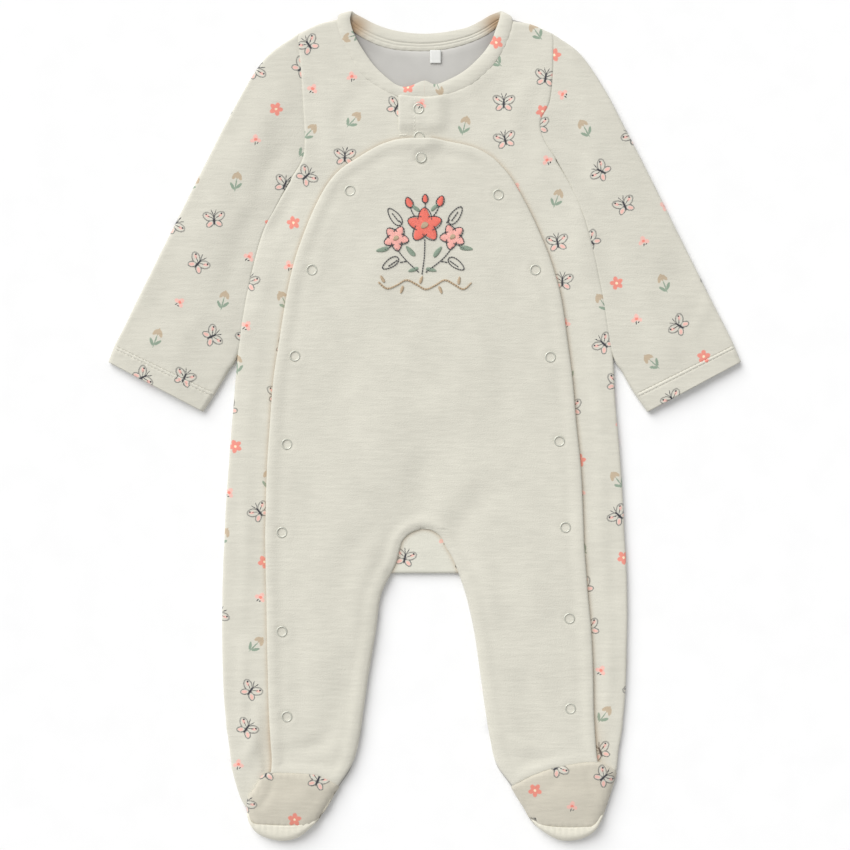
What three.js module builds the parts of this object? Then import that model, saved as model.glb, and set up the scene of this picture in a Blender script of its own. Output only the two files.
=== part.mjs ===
// Footed baby sleepsuit in velour, laid flat with its front up. Millimetres, +Z up from the surface.
// X runs across as seen from the front, Y runs from the feet to the neck, Z = 0 is the surface.
import * as THREE from 'three';
import { mergeVertices, toCreasedNormals } from 'three/addons/utils/BufferGeometryUtils.js';

// Driving sizes of the cloth and of the flat stack
const WALL = 2.0;             // one layer of velour
const TRIM_WALL = 1.3;        // the binding round the neck
const GUSSET_WALL = 1.8;
const SLEEVE_WALL = 1.3;
const SLEEVE_HEIGHT = 4.2;    // a sleeve pressed flat, both layers
const SLEEVE_DOME = 1.2;      // how much its upper layer swells in the middle
const BACK_CURL = 1.5;        // how far the back curls up at the outline
const OUTLINE_UNDER = 2.35;   // underside of the upper layers where they meet the back at the outline
const FRONT_UNDER = 2.65;     // underside of the printed front pieces
const BIB_UNDER = 4.9;        // underside of the plain bib, above the printed pieces
const INSTEP_UNDER = 5.55;    // underside of the instep pieces
const HIDDEN_MARGIN = 27;     // how far the printed pieces run on under the bib
// The right front rides over the left one by a step, which fades out between two places across and up
const PLACKET = { step: 2.6, inner: 8.5, outer: 19, low: 202.4, high: 212 };
const PLACKET_BLEND = 40;     // near the placket the hidden margin runs straight down
const ROLL_BACK = 3;          // radius over which the back curls up to the outline
const ROLL_FRONT = 8;         // radius over which the upper layers come down to it
const EDGE_ROUND = 1.6;       // rounding of every cut and sewn edge
const EDGE_WALL = 0.35;       // share of the wall that is left at such an edge
const SOLE_WALL = 2.0;
const TOE_HEIGHT = 8.6;
const LABEL = { width: 7.7, length: 9.2, wall: 1.0, x: 7.4, y: 258, clear: 0.35 };
const STEP = 17;              // spacing of the cross rows
const INSTEP_STEP = 9;
const HEEL_LEFT = -91.7;      // middle of each heel
const HEEL_RIGHT = 91.0;
const BIB_SPLIT = 0.489;      // where the crotch divides a cross row of the bib
const BACK_SPLIT = 0.491;     // and of the back
const HEM_REACH = 40;         // how far a curved end bends the rows next to it
const ARMHOLE_REACH = 45;
const SHOULDER_REACH = 70;
const SNAP = { inner: 2.65, outer: 3.85, height: 0.9, chamfer: 0.45, clear: 0.2, sides: 14 };
// The bib's arch rides over the lower placket snap
const SNAP_RAISE = { height: 2.1, inner: 5.5, outer: 20 };
const CREASE_ANGLE = 0.9;     // edges sharper than this many radians are shaded as edges

const COLOURS = {
  print: 0xe2dfd0, plain: 0xe3e0d2, inside: 0xd3d3d0, trim: 0xe4e1d3, label: 0xf7f7f5, metal: 0xb9beb2,
};

// A table is an array of rows, and its first line names the columns.
function table(columns, rows) {
  return rows.map((row) => Object.fromEntries(columns.map((name, k) => [name, row[k]])));
}

const PAIR = ['ax', 'ay', 'bx', 'by', 'corner'];

// Plain bib, from the top of its arch to the crotch: left edge, right edge
const BIB_BODY = table(PAIR, [
  [-9.8, 200.6, 5.6, 200.6], [-21, 199.5, 15.4, 198.6], [-32.9, 195.3, 32.9, 194.7],
  [-46.2, 187.6, 45.5, 188.3], [-58.8, 179.2, 53.9, 180.6], [-68.6, 168, 61.6, 170.8],
  [-77.7, 151.2, 72.5, 151.2], [-85.4, 132.3, 81.2, 132.3], [-91.7, 113.4, 88.6, 113.4],
  [-97, 89.6, 95.2, 89.6], [-101.9, 59.5, 99.7, 59.5], [-106.1, 31.5, 103.3, 31.5],
  [-108.5, 0.7, 105.9, 0.7], [-110.6, -31.5, 109.2, -31.5], [-111.7, -72.7, 111, -72.7],
]);
const BIB_LEG_LEFT = table(PAIR, [
  [-111.7, -72.7, -2.8, -72.7], [-111.8, -77, -10.1, -75.6], [-111.8, -82.6, -15.4, -80.5],
  [-111.7, -88.9, -17.4, -85.8], [-111.5, -97.3, -20.1, -95.9], [-111.4, -106.4, -24.3, -105],
  [-111, -120, -31, -120], [-110.6, -143.5, -34.3, -143.5], [-110, -172.9, -39.2, -172.9],
  [-109.3, -198.1, -42.8, -198.1], [-108.2, -219.1, -45.9, -219.1], [-107.2, -233.1, -50.4, -235.9],
  [-107.7, -244, -60.9, -252.9],
]);
const BIB_LEG_RIGHT = table(PAIR, [
  [-2.8, -72.7, 111, -72.7], [4.2, -73.5, 111.1, -77], [10.8, -78.2, 111.3, -82.6],
  [14.7, -85.4, 111.7, -88.9], [19.6, -93.8, 112.4, -97.3], [23.8, -104.7, 113.1, -106.4],
  [28.9, -120, 114.1, -120], [34.3, -143.5, 116.3, -143.5], [38.5, -172.9, 117.6, -172.9],
  [42, -198.1, 118, -198.1], [45.5, -219.1, 119, -217], [50.1, -237.3, 119.9, -228.9],
  [61.5, -252.7, 121, -236.6],
]);
const BIB_HEM_LEFT = [[-107.7, -244], [-99.4, -244.1], [-90.3, -244.4], [-76.3, -245.5], [-67.8, -249.1],
  [-60.9, -252.9]];
const BIB_HEM_RIGHT = [[61.5, -252.7], [72, -247.3], [79, -244.3], [88.9, -240.8], [102.2, -238.1], [112.5, -236.5],
  [121, -236.6]];

// Printed fronts: outer edge, edge of the bib that covers them, and how far they run on beneath it
const FRONT = ['ax', 'ay', 'bx', 'by', 'under', 'corner'];
const FRONT_LEFT = table(FRONT, [
  [7.7, 229.2, 7.7, 212.6, 0], [-18.2, 230.4, -18.2, 212.6, 0, true],
  [-18.6, 230.4, -18.9, 200, 1, true],
  [-30.8, 235.9, -24, 198.8, 1], [-43.4, 245.7, -30, 196.5, 1], [-51.3, 258.3, -35, 194.2, 1],
  [-57, 269.5, -39.5, 191.7, 1], [-60.6, 284.2, -44, 189, 1, true],
  [-74.9, 280.4, -49, 185.9, 1], [-88.6, 274, -54, 182.3, 1, true],
  [-86.1, 247.1, -58, 179.6, 1], [-84.6, 221.9, -63, 174.5, 1], [-83.6, 199.5, -69, 167, 1],
  [-85.4, 185.5, -74, 158, 1], [-94.2, 171.2, -79, 148.6, 1, true],
  [-104.3, 153.7, -85.4, 132.3, 1], [-114.1, 134.4, -91, 115.5, 1], [-123.6, 98.7, -96.6, 91.7, 1],
  [-128.8, 70, -100.5, 66.5, 1], [-131.4, 47.2, -104, 45.5, 1], [-134, 14.7, -107.7, 14, 1],
  [-137.2, -25.9, -110.2, -25.9, 1], [-140, -72.1, -111.7, -72.1, 1], [-141.8, -122.5, -111, -122.5, 1],
  [-141.5, -172.9, -109.3, -172.9, 1], [-139.3, -206.5, -108.6, -207.9, 1],
  [-137.2, -223.3, -107.2, -226.1, 1], [-135.1, -240.1, -107.8, -243.8, 1],
]);
const FRONT_LEFT_HEEL = table(PAIR, [
  [-135.1, -240.1, -107.8, -243.8], [-132.6, -250.5, -114.2, -246.5], [-130, -258.6, -118.6, -254],
  [-127.6, -264, -122.8, -260], [-125.3, -267.4, -124.3, -266],
]);
const FRONT_RIGHT = table(FRONT, [
  [-17.9, 230.4, -17.9, 200, 1], [-4.9, 229.3, -6, 200.8, 1], [4.9, 229.2, 3, 200.5, 1],
  [18.2, 232.2, 11, 199.4, 1], [31.5, 238.5, 18.5, 198.1, 1], [45.1, 250.2, 25.5, 196.5, 1],
  [53.9, 263.4, 31.5, 195, 1], [58.3, 274.6, 36, 193.1, 1], [60.6, 283, 39.5, 191.4, 1, true],
  [74.2, 280.5, 43, 189.5, 1], [89.3, 274, 46.5, 187.5, 1, true],
  [88.9, 247.1, 49.5, 185.3, 1], [86.5, 226.1, 52, 182.8, 1], [80.2, 212.8, 56, 178.2, 1],
  [82.6, 200.2, 62, 170.3, 1], [91.8, 185.2, 68.5, 158.8, 1, true],
  [102, 168.2, 75.5, 144.8, 1], [110.5, 149.1, 81.2, 132.3, 1], [116.9, 126.7, 87, 118, 1],
  [121.8, 105.7, 92.3, 100.8, 1], [127.8, 73.5, 97.9, 72.8, 1], [131.6, 47.1, 101.4, 46.9, 1],
  [133.4, 14.7, 104.7, 14, 1], [136.9, -25.9, 108.6, -25.9, 1], [139.4, -72.1, 111, -72.1, 1],
  [141.4, -122.5, 114.5, -122.5, 1], [140.7, -172.9, 117.6, -172.9, 1], [138.6, -206.5, 118.3, -206.5, 1],
  [135.8, -226.1, 119.9, -226.1, 1], [133.6, -242.6, 121.2, -236.6, 1],
]);

// Back: left edge, right edge
const BACK_BODY = table(PAIR, [
  [-88.6, 274, 89.3, 274], [-86.1, 247.1, 88.9, 247.1], [-84.6, 221.9, 86.5, 226.1],
  [-83.6, 199.5, 80.2, 212.8], [-85.4, 185.5, 82.6, 200.2], [-94.2, 171.2, 91.8, 185.2, true],
  [-104.3, 153.7, 102, 168.2], [-114.1, 134.4, 110.5, 149.1], [-123.6, 98.7, 121.8, 105.7],
  [-128.8, 70, 127.8, 73.5], [-131.4, 47.2, 131.6, 47.1], [-134, 14.7, 133.4, 14.7],
  [-137.2, -25.9, 136.9, -25.9], [-140, -72.7, 139.4, -72.7],
]);
const BACK_TOP = [[-88.6, 274], [-74.9, 280.3], [-61.5, 284.4], [-57.2, 282.6], [-52.4, 277.9], [-44.6, 272.9],
  [-33.9, 267.7], [-22.6, 264.5], [-11.3, 263.4], [0.7, 263.2], [12, 264.1], [23.4, 266.5], [34, 270], [43.6, 274.7],
  [51, 279.8], [56, 282.6], [61, 284.2], [74.2, 280.5], [89.3, 274]];
const BACK_LEG_LEFT = table(PAIR, [
  [-140, -72.7, -2.8, -72.7], [-140.2, -77, -10.1, -75.6], [-140.5, -82.6, -15.4, -80.5],
  [-140.7, -88.9, -17.4, -85.8], [-141, -98, -20.1, -95.9], [-141.5, -107, -24.3, -105],
  [-141.8, -120, -31, -120], [-142, -145, -34.5, -145], [-141.5, -172.9, -39.2, -172.9],
  [-140.6, -192, -42, -192], [-139.3, -206.5, -44.1, -206.5],
]);
const BACK_LEG_RIGHT = table(PAIR, [
  [-2.8, -72.7, 139.4, -72.7], [4.2, -73.5, 139.6, -77], [10.8, -78.2, 139.8, -82.6],
  [14.7, -85.4, 140, -88.9], [19.6, -93.8, 140.3, -98], [23.8, -104.7, 140.7, -107],
  [28.9, -120, 141.2, -120], [34.5, -145, 141.3, -145], [38.5, -172.9, 140.8, -172.9],
  [41.2, -192, 139.9, -192], [43.4, -206.5, 138.6, -206.5],
]);
// Back of each leg round the heel of the sole: the garment's outline and the edge of the sole
const HEEL_OUT_LEFT = table(PAIR, [
  [-139.3, -206.5, HEEL_LEFT, -206.5], [-138.5, -213, -101.5, -208.1], [-137.7, -220, -108.2, -212.7],
  [-136.6, -228, -113.9, -220.4], [-134.7, -241, -118.5, -232.5], [-131.6, -254, -121.3, -246.3],
  [-127.6, -264, -123, -259], [-125.3, -267.8, -123.6, -266],
]);
const HEEL_IN_LEFT = table(PAIR, [
  [HEEL_LEFT, -206.5, -44.1, -206.5], [-82.6, -208.1, -44.8, -214], [-77, -212.7, -46.2, -221],
  [-72.8, -220.4, -49, -231.7], [-70.3, -232.5, -52.9, -242.5], [-70, -246.3, -59.6, -252.3],
  [-70.9, -259, -66.5, -262], [-73, -267.6, -71, -269],
]);
const HEEL_IN_RIGHT = table(PAIR, [
  [43.4, -206.5, HEEL_RIGHT, -206.5], [44.8, -214, 81.9, -208.1], [46.2, -221, 75.9, -212.7],
  [48.3, -231.7, 71.4, -220.4], [51.1, -240.1, 68.2, -232.5], [58.6, -250.6, 67.2, -246.3],
  [64.4, -259.8, 67.8, -257.5], [69.6, -267.8, 71, -266.6],
]);
const HEEL_OUT_RIGHT = table(PAIR, [
  [HEEL_RIGHT, -206.5, 138.6, -206.5], [100.8, -208.1, 137.6, -214], [107.2, -212.7, 136.5, -221],
  [112.8, -220.4, 135.4, -229], [117.7, -232.5, 134.2, -241], [120.8, -246.3, 131.3, -252.6],
  [122.7, -259, 127.9, -263], [124.4, -267.5, 125.6, -269],
]);

// Instep pieces: upper edge on the leg, lower edge on the toe seam
const INSTEP_LEFT = table(PAIR, [
  [-123.3, -266.6, -122, -270.4], [-121.5, -260.1, -120.4, -273.4], [-117.6, -254.7, -118.2, -276.2],
  [-113.2, -247.4, -115.2, -277.4], [-107.6, -244.7, -111, -278], [-99.4, -244.7, -105, -278.5],
  [-90.3, -245, -98, -279], [-76.3, -246.2, -89, -278.6], [-67.9, -249.8, -82, -276.8],
  [-60.9, -253.6, -77.4, -273.2],
]);
const INSTEP_RIGHT = table(PAIR, [
  [61.6, -253.4, 76.2, -273], [66.3, -251.2, 79, -276.6], [72.1, -248, 82.4, -278.2], [79, -245, 86.5, -279.2],
  [88.9, -241.5, 92.8, -279.8], [102.2, -238.8, 102, -280.2], [112.5, -237.2, 110, -279.8],
  [121.1, -237.4, 116.2, -278.4], [127.2, -240, 119.8, -275], [133.3, -243.6, 122.6, -269.8],
]);

// Soles: left and right edge from the heel to the ball of the foot
const SOLE_LEFT = table(PAIR, [
  [-94, -207.7, -89.4, -207.7], [-100.8, -209.2, -83.3, -209.2], [-107.4, -213.5, -77.8, -213.5],
  [-113.4, -220.7, -73.2, -220.7], [-118, -232.6, -70.7, -232.6], [-120.8, -246.4, -70.4, -246.4],
  [-122.5, -259, -71.3, -259], [-122.3, -270.6, -75.3, -272.2],
]);
const SOLE_RIGHT = table(PAIR, [
  [88.7, -207.7, 93.3, -207.7], [82.6, -209.2, 100.1, -209.2], [76.8, -213.5, 106.3, -213.5],
  [71.8, -220.7, 112.4, -220.7], [68.6, -232.6, 117.3, -232.6], [67.6, -246.4, 120.4, -246.4],
  [68.6, -259, 122.2, -259], [73.8, -272.4, 124, -270.6],
]);
// Toe end of each sole, turned up over the toes: ball line, tip of the toes, seam to the instep piece
const TOE = ['bx', 'by', 'tx', 'ty', 'sx', 'sy'];
const TOE_LEFT = table(TOE, [
  [-122.3, -270.6, -124.4, -271.5, -123.8, -270.5], [-117, -270.8, -122.8, -278.5, -120.3, -278],
  [-110, -271, -116.2, -286.5, -112.5, -279], [-101, -271.3, -102.6, -290.9, -101.5, -279.6],
  [-91, -271.6, -90.3, -289.2, -90, -279.6], [-82, -271.9, -80.5, -282.1, -81.5, -278.2],
  [-75.3, -272.2, -74.4, -275.3, -75.4, -275.9],
]);
const TOE_RIGHT = table(TOE, [
  [73.8, -272.4, 73.9, -275.4, 74.9, -275.8], [82, -272, 80.2, -282.4, 82, -279.4],
  [91, -271.8, 91, -289.2, 91, -280.6], [101, -271.5, 99.4, -291, 100.5, -281],
  [110, -271.3, 110.6, -289.2, 110, -280.8], [118, -271, 119.5, -283.2, 117.8, -279.7],
  [124, -270.6, 125, -271.8, 124.7, -271.2],
]);

// Sleeves: outer fold, inner fold; the last row is the hem's end
const SLEEVE_LEFT = table(PAIR, [
  [-89.3, 273.8, -95.7, 171], [-112.5, 256, -105.5, 153.6], [-133, 223, -115.3, 134.3],
  [-155, 180.5, -124.7, 98.6], [-180, 131, -129.7, 70], [-202.3, 86.1, -132, 47.5],
  [-209.7, 70.7, -137.8, 37.5], [-217.6, 55.3, -147.4, 21.4], [-221.9, 44.2, -155.4, 9.2],
]);
const SLEEVE_RIGHT = table(PAIR, [
  [90, 273.8, 93.3, 185.1], [108.5, 260, 103.3, 168.2], [126, 234.5, 111.7, 149.1],
  [140, 208, 118, 126.6], [153.5, 182, 122.8, 105.6], [178, 133, 128.5, 73.4], [202.3, 84.4, 132.2, 47.4],
  [209.3, 70.7, 138.1, 37.1], [215.6, 57.9, 145.8, 23.5], [221.4, 44.3, 155.9, 9.2],
]);
const ARMHOLE_LEFT = [
  [-89.3, 273.8], [-86.9, 247.1], [-85.4, 221.9], [-84.4, 199.5], [-86.6, 185], [-95.7, 171],
];
const ARMHOLE_RIGHT = [
  [90, 273.8], [89.7, 247.1], [87.4, 226.3], [81.2, 212.6], [83.8, 199.8], [93.3, 185.1],
];

// Binding round the neck, once round from the middle of the front: free edge, seam edge and their heights
const NECKBAND = table(['fx', 'fy', 'fz', 'sx', 'sy', 'sz'], [
  [-0.7, 240.8, 5.2, -0.7, 230.1, 5.0], [-10.5, 237, 5.2, -10.5, 230.3, 5.0],
  [-16.8, 236.8, 4.4, -18, 231.2, 4.4], [-23.7, 240.4, 4.3, -30.4, 236.6, 4.3],
  [-35.3, 251.1, 4.3, -42.9, 246.4, 4.3], [-44.2, 263.6, 4.3, -50.7, 258.9, 4.3],
  [-49.7, 273.7, 4.3, -56.3, 270, 4.3], [-52.3, 282.1, 4.3, -59.4, 280.5, 4.3],
  [-52, 286.7, 3.95, -59.2, 285.2, 3.9], [-50.8, 288.4, 2.62, -57.9, 286.6, 2.62],
  [-48.7, 287.3, 1.2, -56, 284.5, 1.2], [-43.4, 284.5, 0.95, -51.4, 279, 0.95],
  [-37.1, 281.1, 0.95, -44, 273.8, 0.95], [-28.7, 277.7, 0.95, -33.5, 268.6, 0.95],
  [-18.9, 275.2, 0.95, -22.4, 265.4, 0.95], [-9.1, 273.8, 0.95, -11.2, 264.3, 0.95],
  [0.7, 273.4, 0.95, 0.7, 264.1, 0.95], [10.5, 274.1, 0.95, 11.9, 265, 0.95],
  [20.3, 275.6, 0.95, 23.1, 267.4, 0.95], [30.1, 278, 0.95, 33.6, 270.9, 0.95],
  [38.5, 282, 0.95, 43.1, 275.6, 0.95], [45.5, 286.1, 0.95, 50.3, 280.8, 0.95],
  [50.3, 288.1, 1.2, 55.5, 283.9, 1.2], [52.7, 288.6, 2.62, 58.2, 285.6, 2.62],
  [52.7, 286.7, 3.95, 59.3, 284.4, 3.9], [51.5, 282.1, 4.3, 59, 280, 4.3],
  [49.7, 277.2, 4.3, 57.2, 273, 4.3], [46.2, 268.1, 4.3, 53.4, 264, 4.3],
  [39.1, 258.3, 4.3, 44.6, 251, 4.3], [27.3, 247.5, 4.3, 31.1, 239.5, 4.3],
  [14, 240.4, 4.2, 18, 233.2, 4.0], [6.3, 238.4, 4.8, 7.4, 230.2, 4.6],
]);

// Crotch piece, folded along the bottom: distance along Y, height, left and right end
const GUSSET = table(['y', 'z', 'left', 'right'], [
  [-66.5, 3.4, -11.2, 6.3], [-70.7, 3.4, -20.3, 14.7], [-77, 3.4, -23.8, 20.3], [-86.1, 3.4, -25.9, 23.8],
  [-93.5, 3.3, -25, 23], [-98.5, 3.3, -20.7, 19.6], [-101.9, 3.3, -22.2, 22], [-102.7, 3, -22.8, 22.5],
  [-103, 2.15, -23.1, 22.7], [-102.7, 1.3, -22.6, 22.3], [-101.9, 0.9, -22.1, 21.8], [-94.5, 0.9, -19, 19.2],
  [-86.1, 0.9, -16.8, 14.5], [-80.5, 0.9, -14.8, 11.4], [-76.6, 0.9, -10.6, 7.6], [-74.6, 0.9, -6.3, 4.7],
]);

const GUSSET_FOLD = { y: -104.8, left: -24.3, right: 23.8 };

// Centres of the snaps: two on the placket and fifteen round the bib
const SNAPS = table(['x', 'y'], [
  [-4.6, 221.2], [-4.2, 201.6], [-2.8, 186.9],
  [-52.5, 163.8], [-79.1, 108.5], [-91, 48.3], [-96.6, -13.3], [-100.1, -74.9], [-100.1, -144.2], [-96.6, -203.7],
  [51.1, 161], [77, 108.5], [87.5, 47.6], [93.8, -11.2], [98, -71.4], [100.8, -135.1], [101.5, -198.1],
]);
const PLACKET_SNAPS = 2;

const quarter = (x) => Math.sqrt(1 - (1 - Math.min(Math.max(x, 0), 1)) ** 2);

function smooth(low, high, x) {
  const t = Math.min(Math.max((x - low) / (high - low), 0), 1);
  return t * t * (3 - 2 * t);
}

// A smooth curve through one run of points
function spline(points) {
  const spots = points.map(([x, y]) => new THREE.Vector3(x, y, 0));
  return new THREE.CatmullRomCurve3(spots, false, 'catmullrom', 0.5);
}

// Dense pairs of rail points from a table; a row marked as a corner ends one smooth run and starts the next
function sweep(rows, step) {
  const dense = [];
  let start = 0;
  for (let k = 1; k < rows.length; k += 1) {
    if (!rows[k].corner && k < rows.length - 1) {
      continue;
    }
    const run = rows.slice(start, k + 1);
    const a = spline(run.map((row) => [row.ax, row.ay]));
    const b = spline(run.map((row) => [row.bx, row.by]));
    for (let i = 0; i < run.length - 1; i += 1) {
      const spanA = Math.hypot(run[i + 1].ax - run[i].ax, run[i + 1].ay - run[i].ay);
      const spanB = Math.hypot(run[i + 1].bx - run[i].bx, run[i + 1].by - run[i].by);
      const parts = Math.max(1, Math.round(Math.max(spanA, spanB) / step));
      for (let j = 0; j < parts; j += 1) {
        const t = (i + j / parts) / (run.length - 1);
        const under = run[i].under + (run[i + 1].under - run[i].under) * (j / parts);
        dense.push({ a: a.getPoint(t), b: b.getPoint(t), under });
      }
    }
    start = k;
  }
  const last = rows.at(-1);
  dense.push({
    a: new THREE.Vector3(last.ax, last.ay, 0), b: new THREE.Vector3(last.bx, last.by, 0), under: last.under,
  });
  return dense;
}

function across(dense, fractions) {
  return dense.map(({ a, b }) => fractions.map((f) => a.clone().lerp(b, f)));
}

// Bends the first rows of a grid so that its first row lies on a curve
function bend(grid, points, reach) {
  const curve = spline(points);
  const first = grid[0].map((p) => p.clone());
  const width = first[0].distanceTo(first.at(-1));
  const shift = first.map((p) => curve.getPointAt(first[0].distanceTo(p) / width).sub(p));
  for (const row of grid) {
    const away = row[0].clone().lerp(row.at(-1), 0.5).distanceTo(first[0].clone().lerp(first.at(-1), 0.5));
    const weight = Math.max(0, 1 - away / reach) ** 2;
    row.forEach((p, j) => p.addScaledVector(shift[j], weight));
  }
  return grid;
}

function bendEnd(grid, points, reach) {
  return bend(grid.reverse(), points, reach).reverse();
}

const HALF = [0, 0.05, 0.16, 0.42, 0.7, 0.9, 1];
const BACK_HALF = [0, 0.08, 0.26, 0.5, 0.74, 0.92, 1];
const STRIP = [0, 0.07, 0.22, 0.6, 0.92, 1];
const HEEL = [0, 0.35, 0.7, 1];
const SLEEVE_ACROSS = [0, 0.15, 0.33, 0.47, 0.58, 0.68, 0.83, 1];
const INSTEP = [0, 0.12, 0.35, 0.65, 0.88, 1];
const SLEEVE_PLAN = 13;
const SOLE_COLUMNS = 9;
const evenly = (count) => Array.from({ length: count }, (_, j) => j / (count - 1));

function twoHalves(half, split) {
  const mirrored = half.map((f) => 1 - f).reverse();
  return [...half.map((f) => f * split), ...mirrored.slice(1).map((f) => split + f * (1 - split))];
}

function legGrid(rows, half, mirrored, firstRow) {
  const grid = across(sweep(rows, STEP), mirrored ? half.map((f) => 1 - f).reverse() : half);
  grid[0] = firstRow;
  return grid;
}

// Printed front: rows from the outer edge to the bib's edge and on beneath the bib, square to that edge
function stripGrid(rows) {
  const dense = sweep(rows, STEP);
  const first = dense.findIndex((pair) => pair.under === 1);
  const away = (k, direction) => {
    let spot = k;
    while (spot + direction >= first && spot + direction < dense.length
      && dense[spot].b.distanceTo(dense[k].b) < HIDDEN_MARGIN) {
      spot += direction;
    }
    return dense[spot].b;
  };
  return dense.map(({ a, b, under }, k) => {
    const before = away(k, -1);
    const after = away(k, 1);
    const along = after.clone().sub(before).normalize();
    const square = new THREE.Vector3(-along.y, along.x, 0);
    square.multiplyScalar(Math.sign(square.dot(b.clone().sub(a))));
    const turned = smooth(0, PLACKET_BLEND, b.distanceTo(dense[first].b));
    square.lerpVectors(new THREE.Vector3(0, -1, 0), square, turned).normalize();
    const seen = STRIP.map((f) => a.clone().lerp(b, f));
    const hidden = [0.5, 1].map((f) => b.clone().addScaledVector(square, HIDDEN_MARGIN * under * f));
    return [...seen, ...hidden];
  });
}

function bibPatches() {
  const body = across(sweep(BIB_BODY, STEP), twoHalves(HALF, BIB_SPLIT));
  const seam = body.at(-1);
  const middle = HALF.length - 1;
  const left = legGrid(BIB_LEG_LEFT, HALF, false, seam.slice(0, middle + 1));
  const right = legGrid(BIB_LEG_RIGHT, HALF, true, seam.slice(middle));
  return [body, bendEnd(left, BIB_HEM_LEFT, HEM_REACH), bendEnd(right, BIB_HEM_RIGHT, HEM_REACH)];
}

function backPatches() {
  const flat = across(sweep(BACK_BODY, STEP), twoHalves(BACK_HALF, BACK_SPLIT));
  const body = bend(flat, BACK_TOP, SHOULDER_REACH);
  const seam = body.at(-1);
  const middle = BACK_HALF.length - 1;
  const heel = middle / 2;
  const left = legGrid(BACK_LEG_LEFT, BACK_HALF, false, seam.slice(0, middle + 1));
  const right = legGrid(BACK_LEG_RIGHT, BACK_HALF, true, seam.slice(middle));
  const patches = [body, left, right];
  for (const [rows, leg, from] of [
    [HEEL_OUT_LEFT, left, 0], [HEEL_IN_LEFT, left, heel], [HEEL_IN_RIGHT, right, 0], [HEEL_OUT_RIGHT, right, heel],
  ]) {
    const grid = across(sweep(rows, STEP), HEEL);
    grid[0] = leg.at(-1).slice(from, from + heel + 1);
    patches.push(grid);
  }
  return patches;
}

function frontLeftPatches() {
  const strip = stripGrid(FRONT_LEFT);
  const heel = across(sweep(FRONT_LEFT_HEEL, STEP), STRIP);
  heel[0] = strip.at(-1).slice(0, STRIP.length);
  return [strip, heel];
}

// Distance from a point to a set of straight segments
function distance(segments, x, y) {
  let best = Infinity;
  for (const [p, q] of segments) {
    const [dx, dy] = [q.x - p.x, q.y - p.y];
    const t = Math.min(Math.max(((x - p.x) * dx + (y - p.y) * dy) / (dx * dx + dy * dy || 1), 0), 1);
    best = Math.min(best, Math.hypot(x - p.x - t * dx, y - p.y - t * dy));
  }
  return best;
}

function segmentsOf(points) {
  return points.slice(1).map((q, k) => [points[k], q]);
}

const OUTLINE_STEP = 6;
const railOf = (rows, side) => sweep(rows, OUTLINE_STEP).map((pair) => pair[side]);

// The garment's outline, where front and back meet: shoulders, sides, inner legs, heels and toes
function garmentOutline() {
  const toes = (rows) => spline(rows.map((row) => [row.tx, row.ty])).getPoints(24);
  const sides = BACK_BODY.slice(BACK_BODY.findIndex((row) => row.corner));
  const belowGusset = BACK_LEG_LEFT.findIndex((row) => row.by <= GUSSET_FOLD.y);
  const lines = [
    railOf(FRONT_LEFT.slice(7, 10), 'a'), railOf(FRONT_RIGHT.slice(8, 11), 'a'),
    railOf(sides, 'a'), railOf(sides, 'b'),
    railOf(BACK_LEG_LEFT, 'a'), railOf(BACK_LEG_LEFT.slice(belowGusset), 'b'),
    railOf(BACK_LEG_RIGHT.slice(belowGusset), 'a'), railOf(BACK_LEG_RIGHT, 'b'),
    railOf(HEEL_OUT_LEFT, 'a'), railOf(HEEL_IN_LEFT, 'b'),
    railOf(HEEL_IN_RIGHT, 'a'), railOf(HEEL_OUT_RIGHT, 'b'),
    toes(TOE_LEFT), toes(TOE_RIGHT),
    [GUSSET_FOLD.left, GUSSET_FOLD.right].map((x) => new THREE.Vector3(x, GUSSET_FOLD.y, 0)),
  ];
  return lines.flatMap(segmentsOf);
}
const OUTLINE = garmentOutline();
const fromOutline = (x, y) => distance(OUTLINE, x, y);

// Raise of the right front where it lies on the end of the left one
function placketRaise(x, y) {
  return PLACKET.step * (1 - smooth(PLACKET.inner, PLACKET.outer, x)) * smooth(PLACKET.low, PLACKET.high, y);
}

// The bib's arch rests on the lower placket snap
function snapRaise(x, y) {
  const away = Math.hypot(x - SNAPS[1].x, y - SNAPS[1].y);
  return SNAP_RAISE.height * (1 - smooth(SNAP_RAISE.inner, SNAP_RAISE.outer, away));
}

// Height of the underside of each layer: they come down to the outline, and the back curls up to meet them
function upperLayer(x, y, height) {
  return OUTLINE_UNDER + (height - OUTLINE_UNDER) * quarter(fromOutline(x, y) / ROLL_FRONT);
}

const LAYERS = {
  back: (x, y) => BACK_CURL * (1 - quarter(fromOutline(x, y) / ROLL_BACK)),
  front: (x, y) => upperLayer(x, y, FRONT_UNDER),
  bib: (x, y) => upperLayer(x, y, BIB_UNDER) + snapRaise(x, y),
  instep: (x, y) => upperLayer(x, y, INSTEP_UNDER),
};
const frontRightUnder = (x, y) => LAYERS.front(x, y) + placketRaise(x, y);

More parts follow.
